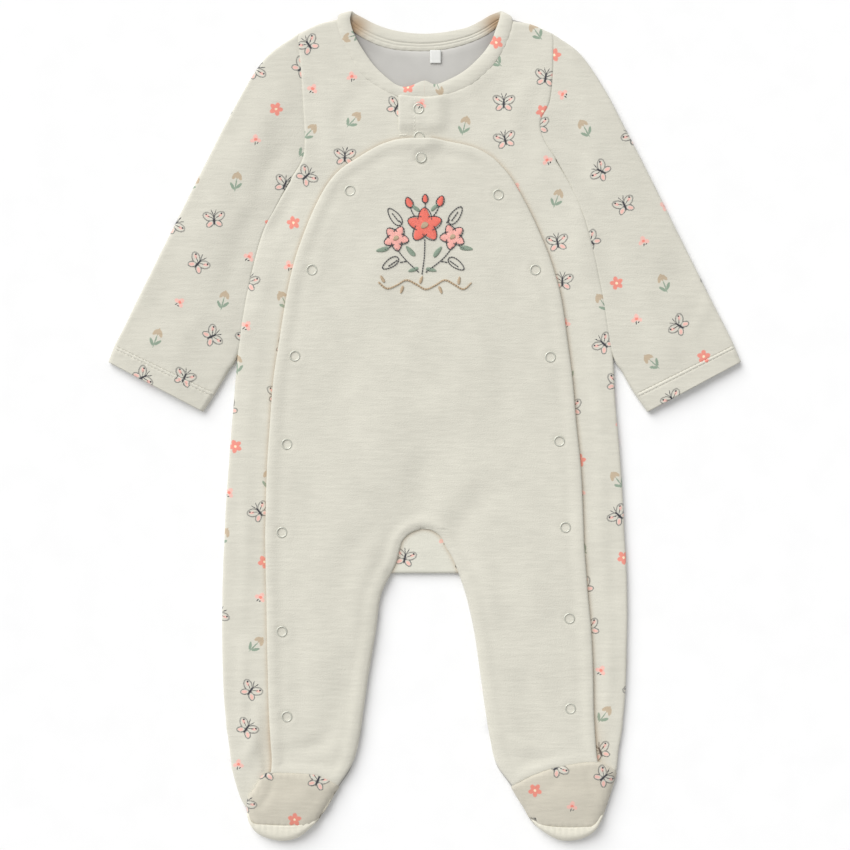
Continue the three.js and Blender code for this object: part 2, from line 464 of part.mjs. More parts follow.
// Closed solid from flat patches: underside and upper side from two heights, and a wall round the border
function cloth(name, patches, under, wall, colour) {
  const points = [];
  const index = new Map();
  const faces = [];
  const at = (p) => {
    const key = `${Math.round(p.x * 500)},${Math.round(p.y * 500)}`;
    if (!index.has(key)) {
      index.set(key, points.length);
      points.push(p);
    }
    return index.get(key);
  };
  for (const grid of patches) {
    for (let k = 1; k < grid.length; k += 1) {
      for (let j = 1; j < grid[k].length; j += 1) {
        const [a, b, c, d] = [grid[k - 1][j - 1], grid[k - 1][j], grid[k][j], grid[k][j - 1]].map(at);
        for (const face of [[a, b, c], [a, c, d]]) {
          const [p, q, r] = face.map((i) => points[i]);
          const area = (q.x - p.x) * (r.y - p.y) - (q.y - p.y) * (r.x - p.x);
          if (new Set(face).size === 3 && Math.abs(area) > 1e-4) {
            faces.push(area > 0 ? face : [face[0], face[2], face[1]]);
          }
        }
      }
    }
  }
  const edges = new Map();
  for (const [a, b, c] of faces) {
    for (const [p, q] of [[a, b], [b, c], [c, a]]) {
      edges.set(`${p},${q}`, [p, q]);
    }
  }
  const border = [...edges.values()].filter(([p, q]) => !edges.has(`${q},${p}`));
  const rim = border.map(([p, q]) => [points[p], points[q]]);
  const low = points.map((p) => under(p.x, p.y));
  const thick = (p) => wall * (EDGE_WALL + (1 - EDGE_WALL) * quarter(distance(rim, p.x, p.y) / EDGE_ROUND));
  const high = points.map((p, k) => low[k] + thick(p));
  const position = [];
  points.forEach((p, k) => position.push(p.x, p.y, high[k]));
  points.forEach((p, k) => position.push(p.x, p.y, low[k]));
  const triangles = [];
  const n = points.length;
  for (const [a, b, c] of faces) {
    triangles.push(a, b, c, n + a, n + c, n + b);
  }
  for (const [p, q] of border) {
    triangles.push(p, n + p, q, q, n + p, n + q);
  }
  return solid(name, position, triangles, colour);
}

// Closed solid from a curved middle surface; a closed direction meets itself
function shell(name, grid, wall, colour, closed = {}) {
  const rows = grid.length;
  const columns = grid[0].length;
  const row = (k) => grid[closed.rows ? (k + rows) % rows : Math.min(Math.max(k, 0), rows - 1)];
  const column = (j) => (closed.columns ? (j + columns) % columns : Math.min(Math.max(j, 0), columns - 1));
  const pick = (k, j) => row(k)[column(j)];
  const position = [[], []];
  for (let k = 0; k < rows; k += 1) {
    for (let j = 0; j < columns; j += 1) {
      const along = pick(k + 1, j).clone().sub(pick(k - 1, j));
      const over = pick(k, j + 1).clone().sub(pick(k, j - 1));
      const normal = along.cross(over).normalize();
      [1, -1].forEach((side, s) => {
        const p = grid[k][j].clone().addScaledVector(normal, side * wall / 2);
        position[s].push(p.x, p.y, p.z);
      });
    }
  }
  const n = rows * columns;
  const id = (k, j) => ((k + rows) % rows) * columns + ((j + columns) % columns);
  const triangles = [];
  const lastRow = closed.rows ? rows : rows - 1;
  const lastColumn = closed.columns ? columns : columns - 1;
  for (let k = 0; k < lastRow; k += 1) {
    for (let j = 0; j < lastColumn; j += 1) {
      const [a, b, c, d] = [id(k, j), id(k + 1, j), id(k + 1, j + 1), id(k, j + 1)];
      triangles.push(a, b, c, a, c, d, n + a, n + c, n + b, n + a, n + d, n + c);
    }
  }
  const wallQuad = (a, b) => triangles.push(a, b, n + b, a, n + b, n + a);
  if (!closed.rows) {
    for (let j = 0; j < lastColumn; j += 1) {
      wallQuad(id(0, j), id(0, j + 1));
      wallQuad(id(rows - 1, j + 1), id(rows - 1, j));
    }
  }
  if (!closed.columns) {
    for (let k = 0; k < lastRow; k += 1) {
      wallQuad(id(k + 1, 0), id(k, 0));
      wallQuad(id(k, columns - 1), id(k + 1, columns - 1));
    }
  }
  return solid(name, [...position[0], ...position[1]], triangles, colour);
}

function solid(name, position, triangles, colour) {
  const geometry = new THREE.BufferGeometry();
  geometry.setAttribute('position', new THREE.Float32BufferAttribute(position, 3));
  geometry.setIndex(triangles);
  const material = new THREE.MeshStandardMaterial({ color: colour, roughness: 0.95, metalness: 0 });
  const mesh = new THREE.Mesh(toCreasedNormals(geometry, CREASE_ANGLE), material);
  if (volumeOf(geometry) < 0) {
    throw new Error(`${name} is inside out`);
  }
  mesh.name = name;
  return mesh;
}

function volumeOf(geometry) {
  const position = geometry.getAttribute('position');
  const order = geometry.getIndex().array;
  const [a, b, c] = [new THREE.Vector3(), new THREE.Vector3(), new THREE.Vector3()];
  let volume = 0;
  for (let k = 0; k < order.length; k += 3) {
    a.fromBufferAttribute(position, order[k]);
    b.fromBufferAttribute(position, order[k + 1]);
    c.fromBufferAttribute(position, order[k + 2]);
    volume += a.dot(b.cross(c)) / 6;
  }
  return volume;
}

// A sleeve is a flat tube: each ring runs over the top and back along the underside
function sleeveMesh(name, rows, armhole, mirrored) {
  const radius = (SLEEVE_HEIGHT - SLEEVE_WALL) / 2;
  const middle = SLEEVE_HEIGHT / 2;
  const inset = SLEEVE_WALL / 2;
  const dense = sweep(rows, STEP);
  const fractions = evenly(SLEEVE_PLAN);
  const plan = bend(across(dense, fractions), armhole, ARMHOLE_REACH);
  const grid = plan.map((line, k) => {
    const path = spline(line.map((p) => [p.x, p.y]));
    const width = path.getLength();
    const spot = (away, z) => {
      const p = path.getPointAt(Math.min(Math.max(away / width, 0), 1));
      return new THREE.Vector3(p.x, p.y, z);
    };
    const end = inset + radius;
    const ring = [];
    for (const angle of [0, Math.PI / 4]) {
      ring.push(spot(inset + radius * (1 - Math.cos(angle)), middle + radius * Math.sin(angle)));
    }
    for (const f of SLEEVE_ACROSS) {
      const away = end + (width - 2 * end) * f;
      ring.push(spot(away, middle + radius + SLEEVE_DOME * Math.sin(Math.PI * f) * Math.min(1, k / 2)));
    }
    for (const angle of [Math.PI / 4, 0, -Math.PI / 4]) {
      ring.push(spot(width - inset - radius * (1 - Math.cos(angle)), middle + radius * Math.sin(angle)));
    }
    for (const f of [...SLEEVE_ACROSS].reverse()) {
      ring.push(spot(end + (width - 2 * end) * f, middle - radius));
    }
    ring.push(spot(inset + radius * (1 - Math.cos(Math.PI / 4)), middle - radius * Math.sin(Math.PI / 4)));
    return mirrored ? ring.reverse() : ring;
  });
  return shell(name, grid, SLEEVE_WALL, COLOURS.print, { columns: true });
}

// A sole: a flat plate under the foot and a toe end that turns up and back to the instep seam
function soleMesh(name, plateRows, toeRows) {
  const half = SOLE_WALL / 2;
  const fractions = evenly(SOLE_COLUMNS);
  const plate = across(sweep(plateRows, STEP), fractions);
  const [ball, tip, seam] = [['bx', 'by'], ['tx', 'ty'], ['sx', 'sy']].map(
    ([x, y]) => spline(toeRows.map((row) => [row[x], row[y]])),
  );
  const top = TOE_HEIGHT - half;
  const profile = table(['out', 'back', 'z'], [
    [0.45, 0, half], [0.8, 0, half + 0.4], [0.95, 0, half + 1.6], [1, 0, (half + top) / 2],
    [0, 0.12, top - 1.4], [0, 0.4, top - 0.3], [0, 1, top - 0.6],
  ]);
  const grid = plate.slice(0, -1).map((line) => line.map((p) => p.clone().setZ(half)));
  grid.push(fractions.map((f) => ball.getPointAt(f).setZ(half)));
  for (const { out, back, z } of profile) {
    grid.push(fractions.map((f) => {
      const start = ball.getPointAt(f);
      const edge = tip.getPointAt(f);
      const inner = edge.clone().lerp(start, Math.min(0.5, half / edge.distanceTo(start)));
      const spot = back > 0 ? inner.lerp(seam.getPointAt(f), back) : start.lerp(inner, out);
      return spot.setZ(z);
    }));
  }
  return shell(name, grid, SOLE_WALL, COLOURS.plain);
}

function neckbandMesh() {
  const path = (x, y, z) => new THREE.CatmullRomCurve3(
    NECKBAND.map((row) => new THREE.Vector3(row[x], row[y], row[z])), true, 'catmullrom', 0.5,
  );
  const free = path('fx', 'fy', 'fz');
  const sewn = path('sx', 'sy', 'sz');
  const count = NECKBAND.length * 2;
  const grid = Array.from({ length: count }, (_, k) => {
    const [a, b] = [free.getPoint(k / count), sewn.getPoint(k / count)];
    return [0, 0.34, 0.67, 1].map((f) => a.clone().lerp(b, f));
  });
  return shell('neckband', grid.reverse(), TRIM_WALL, COLOURS.trim, { rows: true });
}

function gussetMesh() {
  const grid = GUSSET.map(({ y, z, left, right }) => [0, 0.15, 0.4, 0.65, 0.85, 1].map(
    (f) => new THREE.Vector3(left + (right - left) * f, y, z),
  ));
  return shell('crotch_gusset', grid, GUSSET_WALL, COLOURS.print);
}

// A blank loop of tape on the inside of the back, below the binding
function labelMesh() {
  const geometry = new THREE.BoxGeometry(LABEL.width, LABEL.length, LABEL.wall);
  geometry.translate(LABEL.x, LABEL.y, WALL + LABEL.clear + LABEL.wall / 2);
  const mesh = new THREE.Mesh(geometry, new THREE.MeshStandardMaterial({ color: COLOURS.label, roughness: 0.9 }));
  mesh.name = 'neck_label';
  return mesh;
}

function snapMesh(name, x, y, base) {
  const { inner, outer, height, chamfer, sides } = SNAP;
  const low = height - chamfer;
  const corners = [
    [inner, low], [inner, 0], [outer, 0], [outer, low], [outer - chamfer, height], [inner + chamfer / 2, height],
    [inner, low],
  ];
  const ring = new THREE.LatheGeometry(corners.map(([r, z]) => new THREE.Vector2(r, z)), sides);
  ring.deleteAttribute('normal');
  ring.deleteAttribute('uv');
  const geometry = mergeVertices(ring, 1e-3);
  geometry.rotateX(Math.PI / 2);
  geometry.translate(x, y, base);
  const material = new THREE.MeshStandardMaterial({ color: COLOURS.metal, roughness: 0.35, metalness: 0.8 });
  const mesh = new THREE.Mesh(toCreasedNormals(geometry, CREASE_ANGLE), material);
  mesh.name = name;
  return mesh;
}

// A snap rests on the highest cloth under its ring
function snapBase(under, x, y) {
  let high = 0;
  for (let k = 0; k < SNAP.sides; k += 1) {
    const angle = (k / SNAP.sides) * 2 * Math.PI;
    high = Math.max(high, under(x + SNAP.outer * Math.cos(angle), y + SNAP.outer * Math.sin(angle)));
  }
  return high + WALL + SNAP.clear;
}

function buildSleepsuit() {
  const group = new THREE.Group();
  group.name = 'baby_sleepsuit';
  group.add(cloth('back_body', backPatches(), LAYERS.back, WALL, COLOURS.inside));
  group.add(gussetMesh());
  group.add(cloth('front_left', frontLeftPatches(), LAYERS.front, WALL, COLOURS.print));
  group.add(cloth('front_right', [stripGrid(FRONT_RIGHT)], frontRightUnder, WALL, COLOURS.print));
  group.add(cloth('bib_front', bibPatches(), LAYERS.bib, WALL, COLOURS.plain));
  group.add(sleeveMesh('sleeve_left', SLEEVE_LEFT, ARMHOLE_LEFT, false));
  group.add(sleeveMesh('sleeve_right', SLEEVE_RIGHT, ARMHOLE_RIGHT, true));
  group.add(neckbandMesh());
  for (const [side, rows] of [['left', INSTEP_LEFT], ['right', INSTEP_RIGHT]]) {
    const patch = across(sweep(rows, INSTEP_STEP), INSTEP);
    group.add(cloth(`foot_instep_${side}`, [patch], LAYERS.instep, WALL, COLOURS.print));
  }
  group.add(soleMesh('foot_sole_left', SOLE_LEFT, TOE_LEFT));
  group.add(soleMesh('foot_sole_right', SOLE_RIGHT, TOE_RIGHT));
  group.add(labelMesh());
  SNAPS.forEach(({ x, y }, k) => {
    const under = k < PLACKET_SNAPS ? frontRightUnder : LAYERS.bib;
    group.add(snapMesh(`snap_${String(k + 1).padStart(2, '0')}`, x, y, snapBase(under, x, y)));
  });
  const box = new THREE.Box3().setFromObject(group);
  const centre = box.getCenter(new THREE.Vector3());
  for (const mesh of group.children) {
    mesh.geometry.translate(-centre.x, -centre.y, -box.min.z);
  }
  return group;
}

export default buildSleepsuit();
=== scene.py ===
"""Dresses the footed baby sleepsuit: velour, tossed print, seams, ring snaps, embroidery and a pale stage.

Shapes are worked out in the drawing's own millimetres, X across and Y up the front, and go into the frame in
metres.
"""
import math

import bpy
import numpy as np
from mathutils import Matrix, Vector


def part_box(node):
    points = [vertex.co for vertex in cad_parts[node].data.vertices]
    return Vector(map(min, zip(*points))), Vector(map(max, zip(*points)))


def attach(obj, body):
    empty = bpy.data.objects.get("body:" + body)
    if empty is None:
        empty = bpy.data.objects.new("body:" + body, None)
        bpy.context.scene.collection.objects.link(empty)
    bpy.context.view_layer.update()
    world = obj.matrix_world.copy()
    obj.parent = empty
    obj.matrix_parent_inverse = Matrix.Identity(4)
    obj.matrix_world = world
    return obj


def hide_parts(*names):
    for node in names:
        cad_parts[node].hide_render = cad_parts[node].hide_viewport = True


bl_info = {
    "name": "Footed baby sleepsuit",
    "version": (1, 0, 0),
    "blender": (4, 5, 0),
    "location": "View3D > Sidebar > Sleepsuit",
    "description": "Dresses a flat-laid velour sleepsuit with print, stitching, snaps and embroidery",
    "category": "Object",
}

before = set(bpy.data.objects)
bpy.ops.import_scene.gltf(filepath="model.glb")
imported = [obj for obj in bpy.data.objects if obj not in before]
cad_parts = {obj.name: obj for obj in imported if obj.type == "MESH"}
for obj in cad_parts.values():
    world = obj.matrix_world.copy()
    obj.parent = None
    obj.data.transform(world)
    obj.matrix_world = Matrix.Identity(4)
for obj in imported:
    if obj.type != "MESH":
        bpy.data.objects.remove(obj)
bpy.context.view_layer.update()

# Sizes shared with the solids, in millimetres
WALL = 2.0
TRIM_WALL = 1.3
GUSSET_WALL = 1.8
SLEEVE_WALL = 1.3
SLEEVE_HEIGHT = 4.2
SLEEVE_DOME = 1.2
SOLE_WALL = 2.0
BACK_CURL = 1.5
OUTLINE_UNDER = 2.35
FRONT_UNDER = 2.65
BIB_UNDER = 4.9
INSTEP_UNDER = 5.55
HIDDEN_MARGIN = 27.0
ROLL_BACK = 3.0
ROLL_FRONT = 8.0
EDGE_ROUND = 1.6
EDGE_WALL = 0.35
HEM_REACH = 40.0
ARMHOLE_REACH = 45.0
SHOULDER_REACH = 70.0
BIB_COLUMNS = 54
FRONT_COLUMNS = 26
HIDDEN_COLUMNS = 6
BIB_SPLIT = 0.489
BACK_SPLIT = 0.491
HEEL_LEFT = -91.7
HEEL_RIGHT = 91.0
LABEL = {"width": 7.7, "length": 9.2, "wall": 1.0, "x": 7.4, "y": 258.0, "clear": 0.35}
PLACKET = {"step": 1.8, "inner": 8.5, "outer": 19.0, "low": 202.4, "high": 212.0}
PLACKET_BLEND = 40.0
SNAP = {"inner": 2.65, "outer": 3.85}
SNAP_RAISE = {"height": 2.1, "inner": 5.5, "outer": 20.0}
CROTCH_DIP = {"depth": 1.1, "reach": 6.0}
# Hollow that a snap presses into the pile, and the ring of cloth that it lifts: height, radius, width
SNAP_HOLLOW = {"depth": 0.3, "radius": 4.2}
SNAP_RIM = {"height": 0.18, "radius": 6.6, "width": 1.8}
# Turned edge of the bib: the ridge that its seam allowance makes, and the hollow behind it
EDGE_RIDGE = {"height": 0.4, "inside": 4.0, "width": 3.0}
EDGE_HOLLOW = {"depth": 0.25, "inside": 10.5, "width": 3.6}
PLACKET_LINE = -7.4
# Bar of stitches at the foot of the placket: left and right end, upper and lower end of a stitch
PLACKET_BAR = {"left": -17.6, "right": -13.6, "high": 203.4, "low": 202.2}
TAPE_WALL = 0.28

# Close rows next to a cut edge, so that its rounding shows; elsewhere the rows are evenly spread
EDGE_STEPS = np.array([0.0, 0.35, 0.9, 1.7, 2.8, 4.2])
GRID = 1.8
OUTLINE_GRID = 4.0

# Plain bib from the top of its arch to the crotch: left edge x, y, right edge x, y
BIB_BODY = [
    (-9.8, 200.6, 5.6, 200.6), (-21, 199.5, 15.4, 198.6), (-32.9, 195.3, 32.9, 194.7),
    (-46.2, 187.6, 45.5, 188.3), (-58.8, 179.2, 53.9, 180.6), (-68.6, 168, 61.6, 170.8),
    (-77.7, 151.2, 72.5, 151.2), (-85.4, 132.3, 81.2, 132.3), (-91.7, 113.4, 88.6, 113.4),
    (-97, 89.6, 95.2, 89.6), (-101.9, 59.5, 99.7, 59.5), (-106.1, 31.5, 103.3, 31.5),
    (-108.5, 0.7, 105.9, 0.7), (-110.6, -31.5, 109.2, -31.5), (-111.7, -72.7, 111, -72.7),
]
BIB_LEG_LEFT = [
    (-111.7, -72.7, -2.8, -72.7), (-111.8, -77, -10.1, -75.6), (-111.8, -82.6, -15.4, -80.5),
    (-111.7, -88.9, -17.4, -85.8), (-111.5, -97.3, -20.1, -95.9), (-111.4, -106.4, -24.3, -105),
    (-111, -120, -31, -120), (-110.6, -143.5, -34.3, -143.5), (-110, -172.9, -39.2, -172.9),
    (-109.3, -198.1, -42.8, -198.1), (-108.2, -219.1, -45.9, -219.1), (-107.2, -233.1, -50.4, -235.9),
    (-107.7, -244, -60.9, -252.9),
]
BIB_LEG_RIGHT = [
    (-2.8, -72.7, 111, -72.7), (4.2, -73.5, 111.1, -77), (10.8, -78.2, 111.3, -82.6),
    (14.7, -85.4, 111.7, -88.9), (19.6, -93.8, 112.4, -97.3), (23.8, -104.7, 113.1, -106.4),
    (28.9, -120, 114.1, -120), (34.3, -143.5, 116.3, -143.5), (38.5, -172.9, 117.6, -172.9),
    (42, -198.1, 118, -198.1), (45.5, -219.1, 119, -217), (50.1, -237.3, 119.9, -228.9),
    (61.5, -252.7, 121, -236.6),
]
BIB_HEM_LEFT = [
    (-107.7, -244), (-99.4, -244.1), (-90.3, -244.4), (-76.3, -245.5), (-67.8, -249.1), (-60.9, -252.9),
]
BIB_HEM_RIGHT = [
    (61.5, -252.7), (72, -247.3), (79, -244.3), (88.9, -240.8), (102.2, -238.1), (112.5, -236.5),
    (121, -236.6),
]

# Printed fronts: outer edge x, y, bib's edge x, y, and the share of the margin that runs on beneath the bib
FRONT_LEFT = [
    (7.7, 229.2, 7.7, 212.6, 0), (-16.6, 230.4, -16.6, 212.6, 0), (-17, 230.4, -17, 200, 1),
    (-30.8, 235.9, -24, 198.8, 1), (-43.4, 245.7, -30, 196.5, 1), (-51.3, 258.3, -35, 194.2, 1),
    (-57, 269.5, -39.5, 191.7, 1), (-60.6, 284.2, -44, 189, 1), (-74.9, 280.4, -49, 185.9, 1),
    (-88.6, 274, -54, 182.3, 1), (-86.1, 247.1, -58, 179.6, 1), (-84.6, 221.9, -63, 174.5, 1),
    (-83.6, 199.5, -69, 167, 1), (-85.4, 185.5, -74, 158, 1), (-94.2, 171.2, -79, 148.6, 1),
    (-104.3, 153.7, -85.4, 132.3, 1), (-114.1, 134.4, -91, 115.5, 1), (-123.6, 98.7, -96.6, 91.7, 1),
    (-128.8, 70, -100.5, 66.5, 1), (-131.4, 47.2, -104, 45.5, 1), (-134, 14.7, -107.7, 14, 1),
    (-137.2, -25.9, -110.2, -25.9, 1), (-140, -72.1, -111.7, -72.1, 1), (-141.8, -122.5, -111, -122.5, 1),
    (-141.5, -172.9, -109.3, -172.9, 1), (-139.3, -206.5, -108.6, -207.9, 1),
    (-137.2, -223.3, -107.2, -226.1, 1), (-135.1, -240.1, -107.8, -243.8, 1),
]
FRONT_LEFT_CORNERS = (1, 2, 7, 9, 14)
FRONT_LEFT_HEEL = [
    (-135.1, -240.1, -107.8, -243.8), (-132.6, -250.5, -114.2, -246.5), (-130, -258.6, -118.6, -254),
    (-127.6, -264, -122.8, -260), (-125.3, -267.4, -124.3, -266),
]
FRONT_RIGHT = [
    (-17.9, 230.4, -17.9, 200, 1), (-4.9, 229.3, -6, 200.8, 1), (4.9, 229.2, 3, 200.5, 1),
    (18.2, 232.2, 11, 199.4, 1), (31.5, 238.5, 18.5, 198.1, 1), (45.1, 250.2, 25.5, 196.5, 1),
    (53.9, 263.4, 31.5, 195, 1), (58.3, 274.6, 36, 193.1, 1), (60.6, 283, 39.5, 191.4, 1),
    (74.2, 280.5, 43, 189.5, 1), (89.3, 274, 46.5, 187.5, 1), (88.9, 247.1, 49.5, 185.3, 1),
    (86.5, 226.1, 52, 182.8, 1), (80.2, 212.8, 56, 178.2, 1), (82.6, 200.2, 62, 170.3, 1),
    (91.8, 185.2, 68.5, 158.8, 1), (102, 168.2, 75.5, 144.8, 1), (110.5, 149.1, 81.2, 132.3, 1),
    (116.9, 126.7, 87, 118, 1), (121.8, 105.7, 92.3, 100.8, 1), (127.8, 73.5, 97.9, 72.8, 1),
    (131.6, 47.1, 101.4, 46.9, 1), (133.4, 14.7, 104.7, 14, 1), (136.9, -25.9, 108.6, -25.9, 1),
    (139.4, -72.1, 111, -72.1, 1), (141.4, -122.5, 114.5, -122.5, 1), (140.7, -172.9, 117.6, -172.9, 1),
    (138.6, -206.5, 118.3, -206.5, 1), (135.8, -226.1, 119.9, -226.1, 1), (133.6, -242.6, 121.2, -236.6, 1),
]
FRONT_RIGHT_CORNERS = (8, 10, 15)

# Back: left edge x, y, right edge x, y; its body shares the fronts' side seams
BACK_BODY = [
    (*left[:2], *right[:2]) for left, right in zip(FRONT_LEFT[9:22], FRONT_RIGHT[10:18] + FRONT_RIGHT[19:24])
] + [(-140, -72.7, 139.4, -72.7)]
BACK_CORNERS = (5,)
BACK_TOP = [
    (-88.6, 274), (-74.9, 280.3), (-61.5, 284.4), (-57.2, 282.6), (-52.4, 277.9), (-44.6, 272.9),
    (-33.9, 267.7), (-22.6, 264.5), (-11.3, 263.4), (0.7, 263.2), (12, 264.1), (23.4, 266.5), (34, 270),
    (43.6, 274.7), (51, 279.8), (56, 282.6), (61, 284.2), (74.2, 280.5), (89.3, 274),
]
BACK_LEG_LEFT = [
    (-140, -72.7, -2.8, -72.7), (-140.2, -77, -10.1, -75.6), (-140.5, -82.6, -15.4, -80.5),
    (-140.7, -88.9, -17.4, -85.8), (-141, -98, -20.1, -95.9), (-141.5, -107, -24.3, -105),
    (-141.8, -120, -31, -120), (-142, -145, -34.5, -145), (-141.5, -172.9, -39.2, -172.9),
    (-140.6, -192, -42, -192), (-139.3, -206.5, -44.1, -206.5),
]
BACK_LEG_RIGHT = [
    (-2.8, -72.7, 139.4, -72.7), (4.2, -73.5, 139.6, -77), (10.8, -78.2, 139.8, -82.6),
    (14.7, -85.4, 140, -88.9), (19.6, -93.8, 140.3, -98), (23.8, -104.7, 140.7, -107),
    (28.9, -120, 141.2, -120), (34.5, -145, 141.3, -145), (38.5, -172.9, 140.8, -172.9),
    (41.2, -192, 139.9, -192), (43.4, -206.5, 138.6, -206.5),
]
BELOW_GUSSET = 5
HEEL_OUT_LEFT = [
    (-139.3, -206.5, HEEL_LEFT, -206.5), (-138.5, -213, -101.5, -208.1), (-137.7, -220, -108.2, -212.7),
    (-136.6, -228, -113.9, -220.4), (-134.7, -241, -118.5, -232.5), (-131.6, -254, -121.3, -246.3),
    (-127.6, -264, -123, -259), (-125.3, -267.8, -123.6, -266),
]
HEEL_IN_LEFT = [
    (HEEL_LEFT, -206.5, -44.1, -206.5), (-82.6, -208.1, -44.8, -214), (-77, -212.7, -46.2, -221),
    (-72.8, -220.4, -49, -231.7), (-70.3, -232.5, -52.9, -242.5), (-70, -246.3, -59.6, -252.3),
    (-70.9, -259, -66.5, -262), (-73, -267.6, -71, -269),
]
HEEL_IN_RIGHT = [
    (43.4, -206.5, HEEL_RIGHT, -206.5), (44.8, -214, 81.9, -208.1), (46.2, -221, 75.9, -212.7),
    (48.3, -231.7, 71.4, -220.4), (51.1, -240.1, 68.2, -232.5), (58.6, -250.6, 67.2, -246.3),
    (64.4, -259.8, 67.8, -257.5), (69.6, -267.8, 71, -266.6),
]
HEEL_OUT_RIGHT = [
    (HEEL_RIGHT, -206.5, 138.6, -206.5), (100.8, -208.1, 137.6, -214), (107.2, -212.7, 136.5, -221),
    (112.8, -220.4, 135.4, -229), (117.7, -232.5, 134.2, -241), (120.8, -246.3, 131.3, -252.6),
    (122.7, -259, 127.9, -263), (124.4, -267.5, 125.6, -269),
]

# Insteps: upper edge on the leg x, y, lower edge on the toe seam x, y
INSTEP_LEFT = [
    (-123.3, -266.6, -123, -271.2), (-121.5, -260.1, -121.8, -274.6), (-117.6, -254.7, -119.8, -277.6),
    (-113.2, -247.4, -115.8, -278.4), (-107.6, -244.7, -111, -278.4), (-99.4, -244.7, -105, -278.5),
    (-90.3, -245, -98, -279), (-76.3, -246.2, -89, -279), (-67.9, -249.8, -81, -279.2),
    (-60.9, -253.6, -75.2, -276.6),
]
INSTEP_RIGHT = [
    (61.6, -253.4, 74.6, -275.6), (66.3, -251.2, 76.8, -278.8), (72.1, -248, 81.6, -279.8),
    (79, -245, 86.5, -279.2), (88.9, -241.5, 92.8, -279.8), (102.2, -238.8, 102, -280.2),
    (112.5, -237.2, 110, -280.2), (121.1, -237.4, 117.6, -279.8), (127.2, -240, 122, -277),
    (133.3, -243.6, 124.2, -271.2),
]

# The insteps and the fronts reach this far into the seams round them, and the insteps' edges sink into theirs
INSTEP_SEAM = 2.0
FRONT_SEAM = 0.8
INSTEP_TUCK = 1.4
# Small gathers along the seams: height and spacing
PUCKERS = {"instep": (0.22, 4.6), "hem": (0.16, 5.2), "toe": (0.25, 4.2), "neck": (0.1, 6.1)}

# Soles: left edge x, y, right edge x, y from the heel to the ball; toes: ball, tip and seam x, y
SOLE_LEFT = [
    (-94, -207.7, -89.4, -207.7), (-100.8, -209.2, -83.3, -209.2), (-107.4, -213.5, -77.8, -213.5),
    (-113.4, -220.7, -73.2, -220.7), (-118, -232.6, -70.7, -232.6), (-120.8, -246.4, -70.4, -246.4),
    (-122.5, -259, -71.3, -259), (-122.3, -270.6, -75.3, -272.2),
]
SOLE_RIGHT = [
    (88.7, -207.7, 93.3, -207.7), (82.6, -209.2, 100.1, -209.2), (76.8, -213.5, 106.3, -213.5),
    (71.8, -220.7, 112.4, -220.7), (68.6, -232.6, 117.3, -232.6), (67.6, -246.4, 120.4, -246.4),
    (68.6, -259, 122.2, -259), (73.8, -272.4, 124, -270.6),
]
TOE_LEFT = [
    (-122.3, -270.6, -124.4, -271.5, -123.8, -270.5), (-117, -270.8, -122.8, -278.5, -120.3, -278),
    (-110, -271, -116.2, -286.5, -112.5, -279), (-101, -271.3, -102.6, -290.9, -101.5, -279.6),
    (-91, -271.6, -90.3, -289.2, -90, -279.6), (-82, -271.9, -80.5, -282.1, -81.5, -278.2),
    (-75.3, -272.2, -74.4, -275.3, -75.4, -275.9),
]
TOE_RIGHT = [
    (73.8, -272.4, 73.9, -275.4, 74.9, -275.8), (82, -272, 80.2, -282.4, 82, -279.4),
    (91, -271.8, 91, -289.2, 91, -280.6), (101, -271.5, 99.4, -291, 100.5, -281),
    (110, -271.3, 110.6, -289.2, 110, -280.8), (118, -271, 119.5, -283.2, 117.8, -279.7),
    (124, -270.6, 125, -271.8, 124.7, -271.2),
]
# Turn of the toe end: share of the way out, share of the way back, height above half a wall
TOE_TURN = [
    (0.45, 0, 0), (0.8, 0, 0.4), (0.95, 0, 1.6), (1, 0, 3.3), (1, 0.12, 5.2), (1, 0.4, 6.3), (1, 1, 6.0),
]

# Sleeves: outer fold x, y, inner fold x, y; the last row is the hem's end
SLEEVE_LEFT = [
    (-89.3, 273.8, -95.7, 171), (-112.5, 256, -105.5, 153.6), (-133, 223, -115.3, 134.3),
    (-155, 180.5, -124.7, 98.6), (-180, 131, -129.7, 70), (-202.3, 86.1, -132, 47.5),
    (-209.7, 70.7, -137.8, 37.5), (-217.6, 55.3, -147.4, 21.4), (-221.9, 44.2, -155.4, 9.2),
]
SLEEVE_RIGHT = [
    (90, 273.8, 93.3, 185.1), (108.5, 260, 103.3, 168.2), (126, 234.5, 111.7, 149.1), (140, 208, 118, 126.6),
    (153.5, 182, 122.8, 105.6), (178, 133, 128.5, 73.4), (202.3, 84.4, 132.2, 47.4),
    (209.3, 70.7, 138.1, 37.1), (215.6, 57.9, 145.8, 23.5), (221.4, 44.3, 155.9, 9.2),
]
ARMHOLE_LEFT = [(-89.3, 273.8), (-86.9, 247.1), (-85.4, 221.9), (-84.4, 199.5), (-86.6, 185), (-95.7, 171)]
ARMHOLE_RIGHT = [(90, 273.8), (89.7, 247.1), (87.4, 226.3), (81.2, 212.6), (83.8, 199.8), (93.3, 185.1)]
SLEEVES = (("left", SLEEVE_LEFT, ARMHOLE_LEFT), ("right", SLEEVE_RIGHT, ARMHOLE_RIGHT))
HEM_LINE = 12.4
NEEDLES_APART = 2.0
# The turned hem is a step higher, with a row of needle holes on both sides of a ridge
HEM_STEP = 0.35
HEM_RIDGE = {"height": 0.4, "width": 0.6}
NEEDLE = {"depth": 0.42, "width": 0.55}
ARMHOLE_GROOVE = {"depth": 0.35, "width": 1.2}
# Above the cuff the inner fold lies this far under the body, and the armhole's edge is tucked into its seam
SLEEVE_UNDER = 3.5
ARMHOLE_TUCK = 1.3

